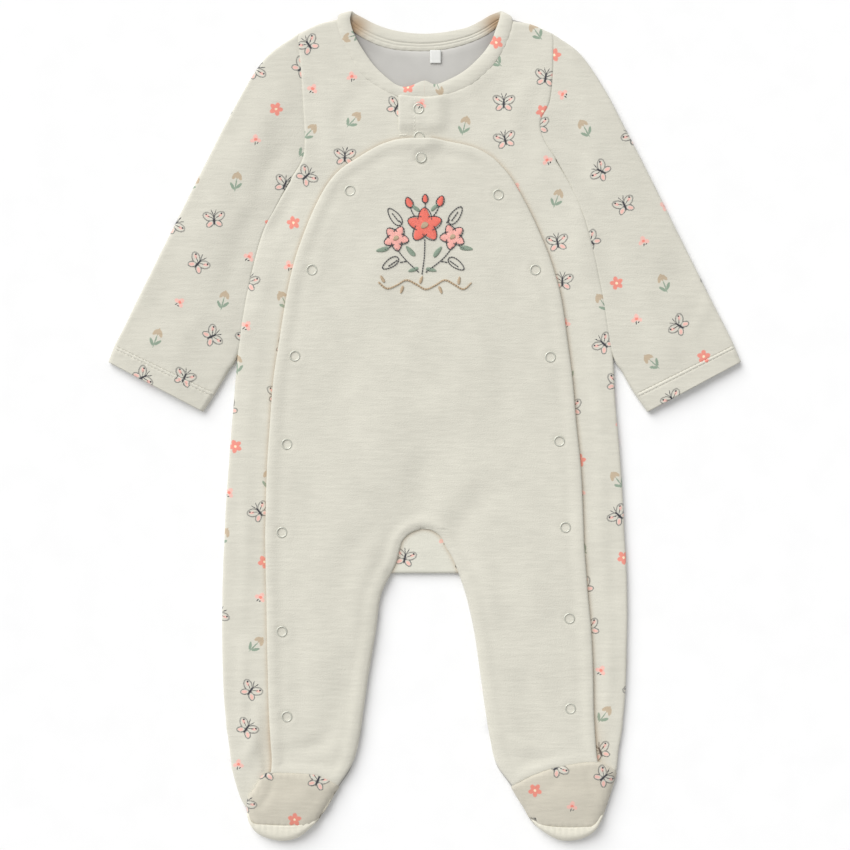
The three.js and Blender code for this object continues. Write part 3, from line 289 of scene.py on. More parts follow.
# Binding round the neck from the middle of the front: free edge x, y, z, seam edge x, y, z
NECKBAND = [
    (-0.7, 240.8, 5.2, -0.7, 230.1, 5.0), (-10.5, 237, 5.2, -10.5, 230.3, 5.0),
    (-16.8, 236.8, 4.4, -18, 231.2, 4.4), (-23.7, 240.4, 4.3, -30.4, 236.6, 4.3),
    (-35.3, 251.1, 4.3, -42.9, 246.4, 4.3), (-44.2, 263.6, 4.3, -50.7, 258.9, 4.3),
    (-49.7, 273.7, 4.3, -56.3, 270, 4.3), (-52.3, 282.1, 4.3, -59.4, 280.5, 4.3),
    (-52, 286.7, 3.95, -59.2, 285.2, 3.9), (-50.8, 288.4, 2.62, -57.9, 286.6, 2.62),
    (-48.7, 287.3, 1.2, -56, 284.5, 1.2), (-43.4, 284.5, 0.95, -51.4, 279, 0.95),
    (-37.1, 281.1, 0.95, -44, 273.8, 0.95), (-28.7, 277.7, 0.95, -33.5, 268.6, 0.95),
    (-18.9, 275.2, 0.95, -22.4, 265.4, 0.95), (-9.1, 273.8, 0.95, -11.2, 264.3, 0.95),
    (0.7, 273.4, 0.95, 0.7, 264.1, 0.95), (10.5, 274.1, 0.95, 11.9, 265, 0.95),
    (20.3, 275.6, 0.95, 23.1, 267.4, 0.95), (30.1, 278, 0.95, 33.6, 270.9, 0.95),
    (38.5, 282, 0.95, 43.1, 275.6, 0.95), (45.5, 286.1, 0.95, 50.3, 280.8, 0.95),
    (50.3, 288.1, 1.2, 55.5, 283.9, 1.2), (52.7, 288.6, 2.62, 58.2, 285.6, 2.62),
    (52.7, 286.7, 3.95, 59.3, 284.4, 3.9), (51.5, 282.1, 4.3, 59, 280, 4.3),
    (49.7, 277.2, 4.3, 57.2, 273, 4.3), (46.2, 268.1, 4.3, 53.4, 264, 4.3),
    (39.1, 258.3, 4.3, 44.6, 251, 4.3), (27.3, 247.5, 4.3, 31.1, 239.5, 4.3),
    (14, 240.4, 4.2, 18, 233.2, 4.0), (6.3, 238.4, 4.8, 7.4, 230.2, 4.6),
]

# The binding reaches over the cloth's edge, and its back half into the neck; at the shoulders it is pushed up
BINDING_OVER = 1.9
BINDING_IN = 0.9
SHOULDER = {"z": 2.62, "push": 1.3, "width": 1.1}
BINDING_CROWN = 0.55
# Grooves along the back half: share of the width, depth, width
BINDING_GROOVES = ((0.58, 0.55, 0.05), (0.75, 0.4, 0.04))
# Above this height in metres the binding is its printed front half
BINDING_TURN = 0.0026

# Where the binding turns from the back to the front; the cloth inside gets painted shade round these corners
NECK_CORNERS = [(-49.5, 279.5), (50, 281.5)]

# Crotch piece, folded along the bottom: y, z, left end x, right end x
GUSSET = [
    (-66.5, 3.4, -11.2, 6.3), (-70.7, 3.4, -20.3, 14.7), (-77, 3.4, -23.8, 20.3), (-86.1, 3.4, -25.9, 23.8),
    (-93.5, 3.3, -25, 23), (-98.5, 3.3, -20.7, 19.6), (-101.9, 3.3, -22.2, 22), (-102.7, 3, -22.8, 22.5),
    (-103, 2.15, -23.1, 22.7), (-102.7, 1.3, -22.6, 22.3), (-101.9, 0.9, -22.1, 21.8),
    (-94.5, 0.9, -19, 19.2), (-86.1, 0.9, -16.8, 14.5), (-80.5, 0.9, -14.8, 11.4), (-76.6, 0.9, -10.6, 7.6),
    (-74.6, 0.9, -6.3, 4.7),
]
# Its ends are tucked this far under the bib's leg edges, and get painted warm shade along them
GUSSET_TUCK = 1.6
GUSSET_SHADE = 0.35
GUSSET_FOLD = [(-24.3, -104.8), (23.8, -104.8)]

# Centres of the snaps: two on the placket, one at the top of the arch, seven down each side
SNAPS = np.array([
    (-4.6, 221.2), (-4.2, 201.6), (-2.8, 186.9), (-52.5, 163.8), (-79.1, 108.5), (-91, 48.3), (-96.6, -13.3),
    (-100.1, -74.9), (-100.1, -144.2), (-96.6, -203.7), (51.1, 161), (77, 108.5), (87.5, 47.6), (93.8, -11.2),
    (98, -71.4), (100.8, -135.1), (101.5, -198.1),
])
PLACKET_SNAPS = 2
# Ring of a snap: radius and height of its round-topped profile
RING_PROFILE = np.array([
    (2.86, 0.0), (2.84, 0.25), (2.92, 0.5), (3.12, 0.68), (3.34, 0.74), (3.56, 0.68), (3.76, 0.48),
    (3.85, 0.2), (3.8, 0.0),
])
RING_SIDES = 48
# How deep the ring is pressed into the pile
RING_PRESSED = 0.12

# Creases: centre x, y, direction in degrees, length, width, height (less than 0 is a trough), bow
BIB_CREASES = [
    (-36, -22, 70, 120, 26, 0.9, 8), (30, -20, 108, 110, 24, 0.8, -7), (-2, -44, 88, 46, 13, -0.8, 2),
    (-30, -66, 128, 52, 9, -0.7, 5), (31, -62, 52, 58, 10, -0.8, -5), (-62, 20, 84, 150, 18, -0.45, 6),
    (58, 10, 96, 170, 20, -0.5, -7), (-40, 100, 62, 80, 16, 0.5, 5), (44, 84, 118, 90, 15, 0.45, -5),
    (-72, -128, 86, 120, 15, 0.7, -4), (76, -122, 93, 130, 16, 0.7, 5), (-62, -196, 74, 70, 9, -0.6, 4),
    (74, -200, 100, 66, 10, -0.5, -3), (-88, -226, 12, 42, 6, -0.8, 3), (86, -228, 172, 46, 5, 0.5, -3),
    (-90, -170, 95, 60, 8, -0.4, 2), (4, 56, 8, 100, 20, 0.35, 6), (12, -8, 172, 90, 15, -0.35, -5),
    (-86, -238, 178, 52, 7, -0.7, -3), (92, -232, 176, 56, 7, -0.6, 3), (-44, -108, 74, 60, 8, 0.5, -3),
    (42, -112, 102, 62, 8, 0.5, 3),
]
FRONT_CREASES = [
    (-100, 150, 62, 46, 6, -0.7, 3), (-114, 96, 75, 70, 6, 0.6, 2), (-122, 20, 84, 90, 6, 0.5, -2),
    (-126, -80, 89, 110, 6, 0.5, 2), (-127, -190, 92, 70, 5, 0.7, -2), (-68, 214, 100, 60, 9, 0.5, 4),
    (-52, 224, 60, 44, 7, -0.5, -3), (-120, -216, 78, 44, 5, 0.9, 3), (-112, -236, 96, 26, 3.5, -0.9, 2),
    (66, 216, 78, 60, 9, 0.5, -4), (48, 222, 120, 46, 7, -0.5, 3), (96, 168, 126, 40, 6, -0.6, -3),
    (112, 110, 104, 64, 6, 0.6, -2), (120, 30, 96, 90, 6, 0.5, 2), (124, -70, 91, 110, 6, 0.5, -2),
    (128, -176, 88, 80, 5, 0.6, 2), (0, 217, 88, 20, 4, -0.3, 0),
]
SLEEVE_CREASES = [
    (-112, 214, 58, 90, 12, 0.8, 5), (-104, 184, 50, 56, 7, -0.7, -4), (-150, 140, 60, 110, 14, 0.6, -5),
    (-134, 118, 72, 76, 8, -0.6, 3), (-184, 92, 62, 60, 10, -0.5, 3), (-166, 62, 64, 60, 9, 0.5, -3),
    (-124, 160, 66, 50, 7, 0.6, 3), (-198, 76, 120, 44, 5, 0.35, 2), (112, 216, 122, 90, 12, 0.8, -5),
    (102, 196, 130, 50, 7, -0.7, 4), (150, 142, 118, 110, 14, 0.6, 5), (130, 122, 106, 80, 8, -0.6, -3),
    (184, 94, 118, 60, 10, -0.5, -3), (164, 64, 116, 60, 9, 0.5, 3), (122, 164, 112, 50, 7, 0.6, -3),
    (196, 78, 60, 44, 5, 0.35, -2),
]
BACK_CREASES = [
    (-70, 120, 70, 90, 14, 0.35, 4), (64, 110, 112, 90, 14, 0.35, -4), (0, 30, 90, 160, 26, 0.3, 0),
]
INSTEP_CREASES = [
    (-98, -262, 12, 40, 9, 0.9, 3), (-110, -258, 64, 22, 3, -0.7, 2), (-84, -256, 150, 24, 4, -0.5, -2),
    (100, -260, 172, 44, 10, 0.9, -3), (116, -252, 110, 22, 3.5, -0.6, -2), (84, -254, 32, 26, 4, -0.4, 2),
]

# Colours
CREAM = "#d7d4c7"
PRINT_GROUND = "#d8d5c8"
# Painted shade: the insteps' ground is darker than the printed ground, for their slope away from the light
INSTEP_SHADED_GROUND = "#d4cebe"
# Painted light: the soles' toe ends are paler than the bib, for the sheen where they curve down
TOE_LIT_CREAM = "#e0dccd"
# Painted light: the gusset's ground is paler, for the light that it catches
GUSSET_LIT_CREAM = "#dcdacd"
# The knit back's own colour, made greyer with painted shade for the inside of the neck
WRONG_SIDE_AND_SHADE = "#c4c2bd"
# Tints of painted shade, which the pieces' fold attribute mixes into the velour and the knit
PAINTED_SHADE_TAN = "#a98a66"
PAINTED_SHADE_GREY = "#7f7b78"
CORAL = "#f5806f"
PINK = "#fabdb2"
TAN = "#bfa88a"
SAGE = "#93a592"
CHARCOAL = "#3e3e44"
SNAP_METAL = "#d3d3c8"
FLOWER_HEART = "#fbe9c8"
THREAD_CREAM = "#f3f0e4"
TAPE_WHITE = "#e4e4e0"


def linear(code):
    """An sRGB hex colour as linear red, green, blue and alpha."""
    share = np.array([int(code[k:k + 2], 16) for k in (1, 3, 5)]) / 255
    value = np.where(share <= 0.04045, share / 12.92, ((share + 0.055) / 1.055) ** 2.4)
    return (*[float(v) for v in value], 1.0)


def drawing_to_frame():
    """How far the frame's middle lies from the drawing's, found at the neck label, in millimetres."""
    low, high = (np.array(corner) * 1000 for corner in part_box("neck_label"))
    middle = (low + high) / 2
    return np.array([middle[0] - LABEL["x"], middle[1] - LABEL["y"], 0.0])


SHIFT = drawing_to_frame()


def quarter(x):
    """A quarter of a circle: 0 at 0, 1 from 1 on."""
    return np.sqrt(1 - (1 - np.clip(x, 0, 1)) ** 2)


def smooth(low, high, x):
    """A soft step from 0 at low to 1 at high."""
    t = np.clip((x - low) / (high - low), 0, 1)
    return t * t * (3 - 2 * t)


def bell(x, width):
    """A bell: 1 at 0, falling off both ways as exp(-(x / width) squared)."""
    return np.exp(-(x / width) ** 2)


def unit(vectors):
    """Vectors divided by their own lengths."""
    return vectors / np.maximum(np.linalg.norm(vectors, axis=-1, keepdims=True), 1e-9)


def way_along(line):
    """How far each point of a line lies from its start: the sum of the steps so far."""
    return np.concatenate([[0], np.cumsum(np.linalg.norm(np.diff(line, axis=0), axis=1))])


def catmull(points, t, closed=False):
    """A Catmull-Rom curve through the points at t from 0 to 1; its slope is half the span of the neighbours."""
    points = np.asarray(points, float)
    if closed:
        ring = np.concatenate([points[-1:], points, points[:2]])
        spans = len(points)
    else:
        ring = np.concatenate([2 * points[:1] - points[1:2], points, 2 * points[-1:] - points[-2:-1]])
        spans = len(points) - 1
    spot = np.clip(t, 0, 1) * spans
    k = np.minimum(spot.astype(int), spans - 1)
    f = (spot - k).reshape((-1,) + (1,) * (points.ndim - 1))
    p0, p1, p2, p3 = ring[k], ring[k + 1], ring[k + 2], ring[k + 3]
    m1, m2 = (p2 - p0) / 2, (p3 - p1) / 2
    return (
        (2 * f ** 3 - 3 * f ** 2 + 1) * p1 + (f ** 3 - 2 * f ** 2 + f) * m1
        + (3 * f ** 2 - 2 * f ** 3) * p2 + (f ** 3 - f ** 2) * m2
    )


def even(points, share):
    """Points of the curve at shares of its own length."""
    t = np.linspace(0, 1, 60 * len(points))
    line = catmull(points, t)
    length = way_along(line)
    return catmull(points, np.interp(np.asarray(share) * length[-1], length, t))


def stations(length, spacing, fine=(True, True)):
    """Places along a length, evenly spread and closer together next to a cut end."""
    start = EDGE_STEPS if fine[0] else np.zeros(1)
    end = length - EDGE_STEPS[::-1] if fine[1] else np.full(1, length)
    count = max(2, round((end[0] - start[-1]) / spacing) + 1)
    return np.concatenate([start[:-1], np.linspace(start[-1], end[0], count), end[1:]])


def rails(rows, spacing, corners=(), fine=(False, False)):
    """The two edges of a piece as dense pairs, one smooth run between each two corner rows."""
    rows = np.asarray(rows, float)
    breaks = [0, *corners, len(rows) - 1]
    dense = []
    for first, last in zip(breaks, breaks[1:]):
        run = rows[first:last + 1]
        t = np.linspace(0, 1, 40 * len(run))
        line = catmull(run, t)
        steps = np.maximum(
            np.linalg.norm(np.diff(line[:, :2], axis=0), axis=1),
            np.linalg.norm(np.diff(line[:, 2:4], axis=0), axis=1),
        )
        length = np.concatenate([[0], np.cumsum(steps)])
        ends = (fine[0] and first == 0, fine[1] and last == len(rows) - 1)
        if length[-1] < 3 * EDGE_STEPS[-1]:
            ends = (False, False)
        dense.append(catmull(run, np.interp(stations(length[-1], spacing, ends), length, t))[:-1])
    return np.vstack([*dense, rows[-1:]])


def shares(width, count, fine=(True, True)):
    """Shares of each row's width: close columns next to a cut edge, and count even ones between."""
    step = EDGE_STEPS[None] * np.minimum(1, 0.3 * width[:, None] / EDGE_STEPS[-1]) / width[:, None]
    none = np.zeros((len(width), 1))
    low = step if fine[0] else none
    high = step if fine[1] else none
    inner = np.linspace(0, 1, count)[None, 1:-1]
    span = 1 - low[:, -1:] - high[:, -1:]
    return np.hstack([low, low[:, -1:] + span * inner, 1 - high[:, ::-1]])


def across(pairs, columns):
    """A grid of points: each row runs straight from its left edge to its right one."""
    return pairs[:, None, :2] + (pairs[:, None, 2:4] - pairs[:, None, :2]) * columns[..., None]


def row_widths(pairs):
    """Length of each row, from its left edge straight to its right one."""
    return np.linalg.norm(pairs[:, 2:4] - pairs[:, :2], axis=1)


def two_halves(pairs, split, count):
    """Columns for a row that the crotch divides: close ones at both edges and on both sides of the split."""
    width = row_widths(pairs)
    left = shares(width * split, count)
    right = shares(width * (1 - split), count)
    return np.hstack([left * split, split + right[:, 1:] * (1 - split)])


def bend(grid, points, reach):
    """Lays the first row on a curve; the rows that follow move less, by the square of the way that is left."""
    first = grid[0]
    share = np.linalg.norm(first - first[0], axis=1) / np.linalg.norm(first[-1] - first[0])
    shift = even(points, share) - first
    middle = (grid[:, 0] + grid[:, -1]) / 2
    weight = np.clip(1 - np.linalg.norm(middle - middle[0], axis=1) / reach, 0, None) ** 2
    return grid + shift[None] * weight[:, None, None]


def distance(points, segments):
    """Distance in the plan from each point to the nearest segment, in blocks of points."""
    start = segments[:, 0]
    along = segments[:, 1] - start
    length = np.maximum((along ** 2).sum(1), 1e-9)
    block = 3000
    parts = []
    for k in range(0, len(points), block):
        away = points[k:k + block, None, :2] - start
        t = np.clip((away * along).sum(-1) / length, 0, 1)
        parts.append(np.sqrt(((away - t[..., None] * along) ** 2).sum(-1).min(1)))
    return np.concatenate(parts)


def outward(points, segments):
    """Unit normals of the nearest border edges, which run with the piece on their left."""
    start = segments[:, 0]
    along = segments[:, 1] - start
    length = np.maximum((along ** 2).sum(1), 1e-9)
    away = points[:, None] - start
    t = np.clip((away * along).sum(-1) / length, 0, 1)
    nearest = along[((away - t[..., None] * along) ** 2).sum(-1).argmin(1)]
    return unit(np.column_stack([nearest[:, 1], -nearest[:, 0]]))


def grown(points, border, allowance):
    """A seam allowance: the border moves out, and the points behind it follow less and less."""
    edges = points[border]
    inside = distance(points, edges)
    near = inside < 6
    moved = points.copy()
    moved[near] += outward(points[near], edges) * (allowance[near] * np.exp(-inside[near] / 2))[:, None]
    return moved


def segments_of(line):
    """The pieces between each two points of a line."""
    return np.stack([line[:-1], line[1:]], axis=1)


def garment_outline():
    """The outline where front and back meet: shoulders, sides, inner legs, heels and toes."""
    def rail(rows, side):
        return rails(rows, OUTLINE_GRID)[:, 2 * side:2 * side + 2]

    toes = [
        catmull([heel_out[-1][:2], *[row[2:4] for row in rows], heel_in[-1][2:4]], np.linspace(0, 1, 36))
        for heel_out, rows, heel_in in (
            (HEEL_OUT_LEFT, TOE_LEFT, HEEL_IN_LEFT), (HEEL_IN_RIGHT, TOE_RIGHT, HEEL_OUT_RIGHT),
        )
    ]
    lines = [
        rail(FRONT_LEFT[7:10], 0), rail(FRONT_RIGHT[8:11], 0),
        rail(BACK_BODY[5:], 0), rail(BACK_BODY[5:], 1),
        rail(BACK_LEG_LEFT, 0), rail(BACK_LEG_LEFT[BELOW_GUSSET:], 1),
        rail(BACK_LEG_RIGHT[BELOW_GUSSET:], 0), rail(BACK_LEG_RIGHT, 1),
        rail(HEEL_OUT_LEFT, 0), rail(HEEL_IN_LEFT, 1), rail(HEEL_IN_RIGHT, 0), rail(HEEL_OUT_RIGHT, 1),
        *toes, np.array(GUSSET_FOLD),
    ]
    return np.concatenate([segments_of(line) for line in lines])


OUTLINE = garment_outline()


def crotch_seam():
    """The seam between the gusset and the bib: the bib's two inner leg edges, down to the gusset's fold."""
    legs = ((BIB_LEG_LEFT, 2), (BIB_LEG_RIGHT, 0))
    sides = [rails(rows[:6], OUTLINE_GRID)[:, low:low + 2] for rows, low in legs]
    return np.concatenate([segments_of(line) for line in sides])


CROTCH = crotch_seam()


def upper_layer(points, height):
    """Underside of an upper layer: a quarter round comes down to the garment's outline."""
    return OUTLINE_UNDER + (height - OUTLINE_UNDER) * quarter(distance(points, OUTLINE) / ROLL_FRONT)


def back_under(points):
    """The back lies flat and curls up along the outline by a quarter round."""
    return BACK_CURL * (1 - quarter(distance(points, OUTLINE) / ROLL_BACK))


def front_under(points):
    """Underside of the printed fronts."""
    return upper_layer(points, FRONT_UNDER)


def front_right_under(points):
    """The right front rides up where its placket lies on the left one."""
    over = 1 - smooth(PLACKET["inner"], PLACKET["outer"], points[:, 0])
    return front_under(points) + PLACKET["step"] * over * smooth(PLACKET["low"], PLACKET["high"], points[:, 1])


def bib_under(points):
    """The bib's arch rides over the lower placket snap, and the bib dips towards the seam at the crotch."""
    away = np.linalg.norm(points[:, :2] - SNAPS[1], axis=1)
    height = BIB_UNDER - CROTCH_DIP["depth"] * (1 - smooth(0, CROTCH_DIP["reach"], distance(points, CROTCH)))
    return upper_layer(points, height) + SNAP_RAISE["height"] * (
        1 - smooth(SNAP_RAISE["inner"], SNAP_RAISE["outer"], away)
    )


def instep_under(points):
    """Underside of the insteps, over the soles' turned toe ends."""
    return upper_layer(points, INSTEP_UNDER)


def creases(points, table):
    """Sum of long soft ridges and troughs: a bell across, a flat-topped bell along, bent by its bow."""
    total = np.zeros(len(points))
    for x, y, degrees, length, width, height, bow in table:
        angle = math.radians(degrees)
        dx, dy = points[:, 0] - x, points[:, 1] - y
        along = (dx * math.cos(angle) + dy * math.sin(angle)) / (length / 2)
        over = (dy * math.cos(angle) - dx * math.sin(angle) - bow * (along ** 2 - 0.4)) / width
        total += height * np.exp(-over ** 2 - along ** 4)
    return total


def snap_dimples(points, spots):
    """Each snap presses the pile down under its ring and lifts it a little round it."""
    away = np.sqrt(((points[:, None, :2] - spots) ** 2).sum(-1)).min(1)
    hollow = np.exp(-(away / SNAP_HOLLOW["radius"]) ** 4)
    rim = bell(away - SNAP_RIM["radius"], SNAP_RIM["width"])
    return SNAP_RIM["height"] * rim - SNAP_HOLLOW["depth"] * hollow


def waves(points):
    """Cloth that was smoothed by hand: the sum of products of two sines, of unlike length and direction."""
    x, y = points[:, 0], points[:, 1]
    return (
        0.16 * np.sin(x / 9.1 + y / 23 + 0.7) * np.sin(y / 31 - 0.4)
        + 0.14 * np.sin(x / 14.7 - y / 11.3 + 2.1) * np.sin(x / 27 + 1.0)
        + 0.1 * np.sin(x / 5.3 + y / 7.9 + 0.3) * np.sin(y / 13 + x / 37)
    )


def laid(points, table, strength, inside, fade):
    """Creases at their strength and waves, which fade in from the edge in a quarter round."""
    return (creases(points, table) * strength + waves(points)) * quarter(inside / fade)


def puckers(seam, way, lean=0.0):
    """Small gathers along a seam: a sine of the way along it."""
    height, apart = PUCKERS[seam]
    return height * np.sin(way * 2 * math.pi / apart + lean)


def rolled_edge(inside):
    """A turned edge: a bell-shaped ridge a few millimetres in, and a faint hollow behind it."""
    ridge = EDGE_RIDGE["height"] * bell(inside - EDGE_RIDGE["inside"], EDGE_RIDGE["width"])
    hollow = EDGE_HOLLOW["depth"] * bell(inside - EDGE_HOLLOW["inside"], EDGE_HOLLOW["width"])
    return (ridge - hollow) * quarter(inside / EDGE_ROUND)


def bib_relief(points, inside):
    """Creases and waves, a rolled edge that is weaker on the outline, and the hollows of the snaps."""
    edge = rolled_edge(inside) * (0.35 + 0.65 * smooth(3, 14, distance(points, OUTLINE)))
    return laid(points, BIB_CREASES, 1.5, inside, 10) + edge + snap_dimples(points, SNAPS[PLACKET_SNAPS:])


def front_relief(points, inside):
    """Creases and waves, the groove of the placket's stitched line, a faint rolled edge and the snap's hollow."""
    groove = 0.3 * bell(points[:, 0] - PLACKET_LINE, 0.7) * smooth(200, 204, points[:, 1])
    pressed = (snap_dimples(points, SNAPS[:1]) - groove) * (inside > EDGE_ROUND)
    return laid(points, FRONT_CREASES, 1.3, inside, 5) + 0.25 * rolled_edge(inside) + pressed


def instep_relief(points, inside):
    """A soft dome that rises in a quarter round, with creases, and puckers along the seams."""
    dome = 0.9 * quarter(inside / 14)
    gathers = puckers("instep", points[:, 0], 0.3 * points[:, 1]) * bell(inside, 3.5)
    return (creases(points, INSTEP_CREASES) + gathers) * quarter(inside / 3) + dome


def back_relief(points, inside):
    """A few creases that fade in from the edge."""
    return creases(points, BACK_CREASES) * quarter(inside / 8)


def crossed(points, triangles):
    """Cross product of two sides of each flat triangle: twice its area, more than 0 when it faces up."""
    a, b, c = (points[triangles[:, k]] for k in range(3))
    return (b[:, 0] - a[:, 0]) * (c[:, 1] - a[:, 1]) - (b[:, 1] - a[:, 1]) * (c[:, 0] - a[:, 0])


def weld(grids):
    """Joins grids into one flat triangle mesh: points, triangles turned up, and the border's edges. Points
    within a hundredth of a millimetre become one, and an edge without its reverse is on the border."""
    points = np.concatenate([grid.reshape(-1, 2) for grid in grids])
    quads = []
    start = 0
    for grid in grids:
        rows, columns = grid.shape[:2]
        index = start + np.arange(rows * columns).reshape(rows, columns)
        corners = [index[:-1, :-1], index[:-1, 1:], index[1:, 1:], index[1:, :-1]]
        quads.append(np.stack(corners, -1).reshape(-1, 4))
        start += rows * columns
    quads = np.concatenate(quads)
    keys, first, same = np.unique(
        np.round(points / 0.01).astype(np.int64), axis=0, return_index=True, return_inverse=True,
    )
    points = points[first]
    quads = same.reshape(-1)[quads]
    triangles = np.concatenate([quads[:, [0, 1, 2]], quads[:, [0, 2, 3]]])
    area = crossed(points, triangles)
    triangles = np.where((area < 0)[:, None], triangles[:, [0, 2, 1]], triangles)[np.abs(area) > 1e-5]
    edges = np.concatenate([triangles[:, [0, 1]], triangles[:, [1, 2]], triangles[:, [2, 0]]])
    code = edges[:, 0] * len(points) + edges[:, 1]
    back = edges[:, 1] * len(points) + edges[:, 0]
    border = edges[~np.isin(code, back)]
    return points, triangles, border


def plan_area(points, triangles):
    """Flat area of the cut in square metres: half the cross products of the triangles' sides."""
    return float(np.abs(crossed(points, triangles)).sum() / 2) * 1e-6


def make_piece(name, points, faces, materials, cloth=None, finish=None, fold=None):
    """A piece with its object at the origin: points in drawing millimetres, one row of corners for each face."""
    mesh = bpy.data.meshes.new(name)
    place = (points + SHIFT) / 1000
    mesh.vertices.add(len(place))
    mesh.vertices.foreach_set("co", place.astype(np.float32).ravel())
    sides = faces.shape[1]
    mesh.loops.add(faces.size)
    mesh.loops.foreach_set("vertex_index", faces.astype(np.int32).ravel())
    mesh.polygons.add(len(faces))
    mesh.polygons.foreach_set("loop_start", np.arange(0, faces.size, sides, dtype=np.int32))
    mesh.polygons.foreach_set("use_smooth", np.ones(len(faces), bool))
    if cloth is not None:
        layer = mesh.uv_layers.new(name="cloth")
        layer.data.foreach_set("uv", (cloth[faces.ravel()] / 1000).astype(np.float32).ravel())
    # The fold attribute is painted shade: how far the colour turns to a shade tint
    if fold is not None:
        shade = mesh.attributes.new("fold", "FLOAT", "POINT")
        shade.data.foreach_set("value", fold.astype(np.float32).ravel())
    if finish is not None:
        mesh.polygons.foreach_set("material_index", finish.astype(np.int32))
    for material in materials:
        mesh.materials.append(material)
    mesh.update(calc_edges=True)
    mesh.validate()
    piece = bpy.data.objects.new(name, mesh)
    bpy.context.scene.collection.objects.link(piece)
    return piece


def finish_piece(piece, slot, *nodes):
    """The piece rides on the one body and stands for its solids, which it hides; the slot is not used."""
    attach(piece, "root")
    if nodes:
        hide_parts(*nodes)
    return piece


def cloth_sheet(name, grids, under, relief, materials, grain=0.0, allowance=0.0, tuck=0.0, fold=None):
    """A closed sheet: flat grids lifted to under(x, y), with a wall that thins in a quarter round at its edge. A
    piece with an allowance reaches out into its seams, and its edge sinks into them by the tuck."""
    points, triangles, border = weld(grids)
    away = quarter(distance(points, OUTLINE) / 3)
    if allowance:
        points = grown(points, border, allowance * away)
    inside = distance(points, points[border])
    low = under(points) - tuck * away * (1 - quarter(inside / 3))
    high = low + WALL * (EDGE_WALL + (1 - EDGE_WALL) * quarter(inside / EDGE_ROUND)) + relief(points, inside)
    n = len(points)
    p, q = border[:, 0], border[:, 1]
    walls = np.concatenate([np.stack([p, n + p, q], 1), np.stack([q, n + p, n + q], 1)])
    faces = np.concatenate([triangles, n + triangles[:, ::-1], walls])
    position = np.concatenate([np.column_stack([points, high]), np.column_stack([points, low])])
    finish = np.concatenate([np.ones(len(triangles)), np.zeros(len(triangles) + len(walls))])
    turn = math.radians(grain)
    cut = points @ np.array([[math.cos(turn), math.sin(turn)], [-math.sin(turn), math.cos(turn)]])
    # fold gives the painted shade at each point
    depth = np.tile(fold(points), 2) if fold else None
    finish = finish if len(materials) > 1 else None
    piece = make_piece(name, position, faces, materials, np.concatenate([cut, cut]), finish, depth)
    return piece, plan_area(points, triangles)


def grid_quads(rows, columns, closed_rows, closed_columns):
    """Point numbers of a grid, with its first row or column again at a closed end, and its quads."""
    index = np.arange(rows * columns).reshape(rows, columns)
    index = np.vstack([index, index[:1]]) if closed_rows else index
    index = np.hstack([index, index[:, :1]]) if closed_columns else index
    quads = np.stack([index[:-1, :-1], index[1:, :-1], index[1:, 1:], index[:-1, 1:]], -1)
    return index, quads.reshape(-1, 4)


def shell_faces(rows, columns, closed_rows, closed_columns):
    """Faces of a shell with an outer and an inner skin, and walls where a direction isn't closed."""
    index, quads = grid_quads(rows, columns, closed_rows, closed_columns)
    n = rows * columns
    faces = [quads, n + quads[:, ::-1]]

    def walls(line):
        p, q = line[:-1], line[1:]
        return np.stack([p, q, n + q, n + p], 1)

    if not closed_rows:
        faces += [walls(index[0]), walls(index[-1][::-1])]
    if not closed_columns:
        faces += [walls(index[:, 0][::-1]), walls(index[:, -1])]
    return np.concatenate(faces)


def skin_normals(grid, closed_rows, closed_columns):
    """Unit normals of a grid: the cross product of the steps to the neighbours on both sides."""
    def step(axis, closed):
        if closed:
            return np.roll(grid, -1, axis) - np.roll(grid, 1, axis)
        return np.gradient(grid, axis=axis)

    return unit(np.cross(step(0, closed_rows), step(1, closed_columns)))


def turned_out(points, faces):
    """The faces, turned round if they point inwards: if the sum of the triple products of their corners is less
    than 0, which is six times the volume that they close in."""
    first = points[faces[:, 0]]
    fans = (
        np.einsum("ij,ij->i", first, np.cross(points[faces[:, k]], points[faces[:, k + 1]])).sum()
        for k in range(1, faces.shape[1] - 1)
    )
    return faces[:, ::-1] if sum(fans) < 0 else faces


def cloth_shell(name, grid, wall, materials, cloth, closed_rows=False, closed_columns=False, fold=None):
    """A closed shell: a curved middle surface moved out and in by half its wall."""
    rows, columns = grid.shape[:2]
    normal = skin_normals(grid, closed_rows, closed_columns)
    half = np.broadcast_to(np.asarray(wall, float) / 2, (rows, columns))[..., None]
    skins = [(grid + normal * half).reshape(-1, 3), (grid - normal * half).reshape(-1, 3)]
    points = np.concatenate(skins)
    faces = turned_out(points, shell_faces(rows, columns, closed_rows, closed_columns))
    flat = cloth.reshape(-1, 2)
    # fold holds the painted shade at each point
    depth = np.tile(fold.ravel(), 2) if fold is not None else None
    return make_piece(name, points, faces, materials, np.concatenate([flat, flat]), None, depth)


def node(tree, kind, inputs=None, **settings):
    """Adds one shader node. An input takes a value, an output, or a node, which gives its first output."""
    made = tree.nodes.new("ShaderNode" + kind)
    for name, value in settings.items():
        setattr(made, name, value)
    for socket, value in (inputs or {}).items():
        if isinstance(value, bpy.types.Node):
            value = value.outputs[0]
        if isinstance(value, bpy.types.NodeSocket):
            tree.links.new(value, made.inputs[socket])
        else:
            made.inputs[socket].default_value = value
    return made


def new_material(name):
    """An empty material, its node tree, and the node that gives the piece's own place in metres."""
    material = bpy.data.materials.get(name) or bpy.data.materials.new(name)
    material.use_nodes = True
    tree = material.node_tree
    tree.nodes.clear()
    return material, tree, node(tree, "TexCoord").outputs["Object"]


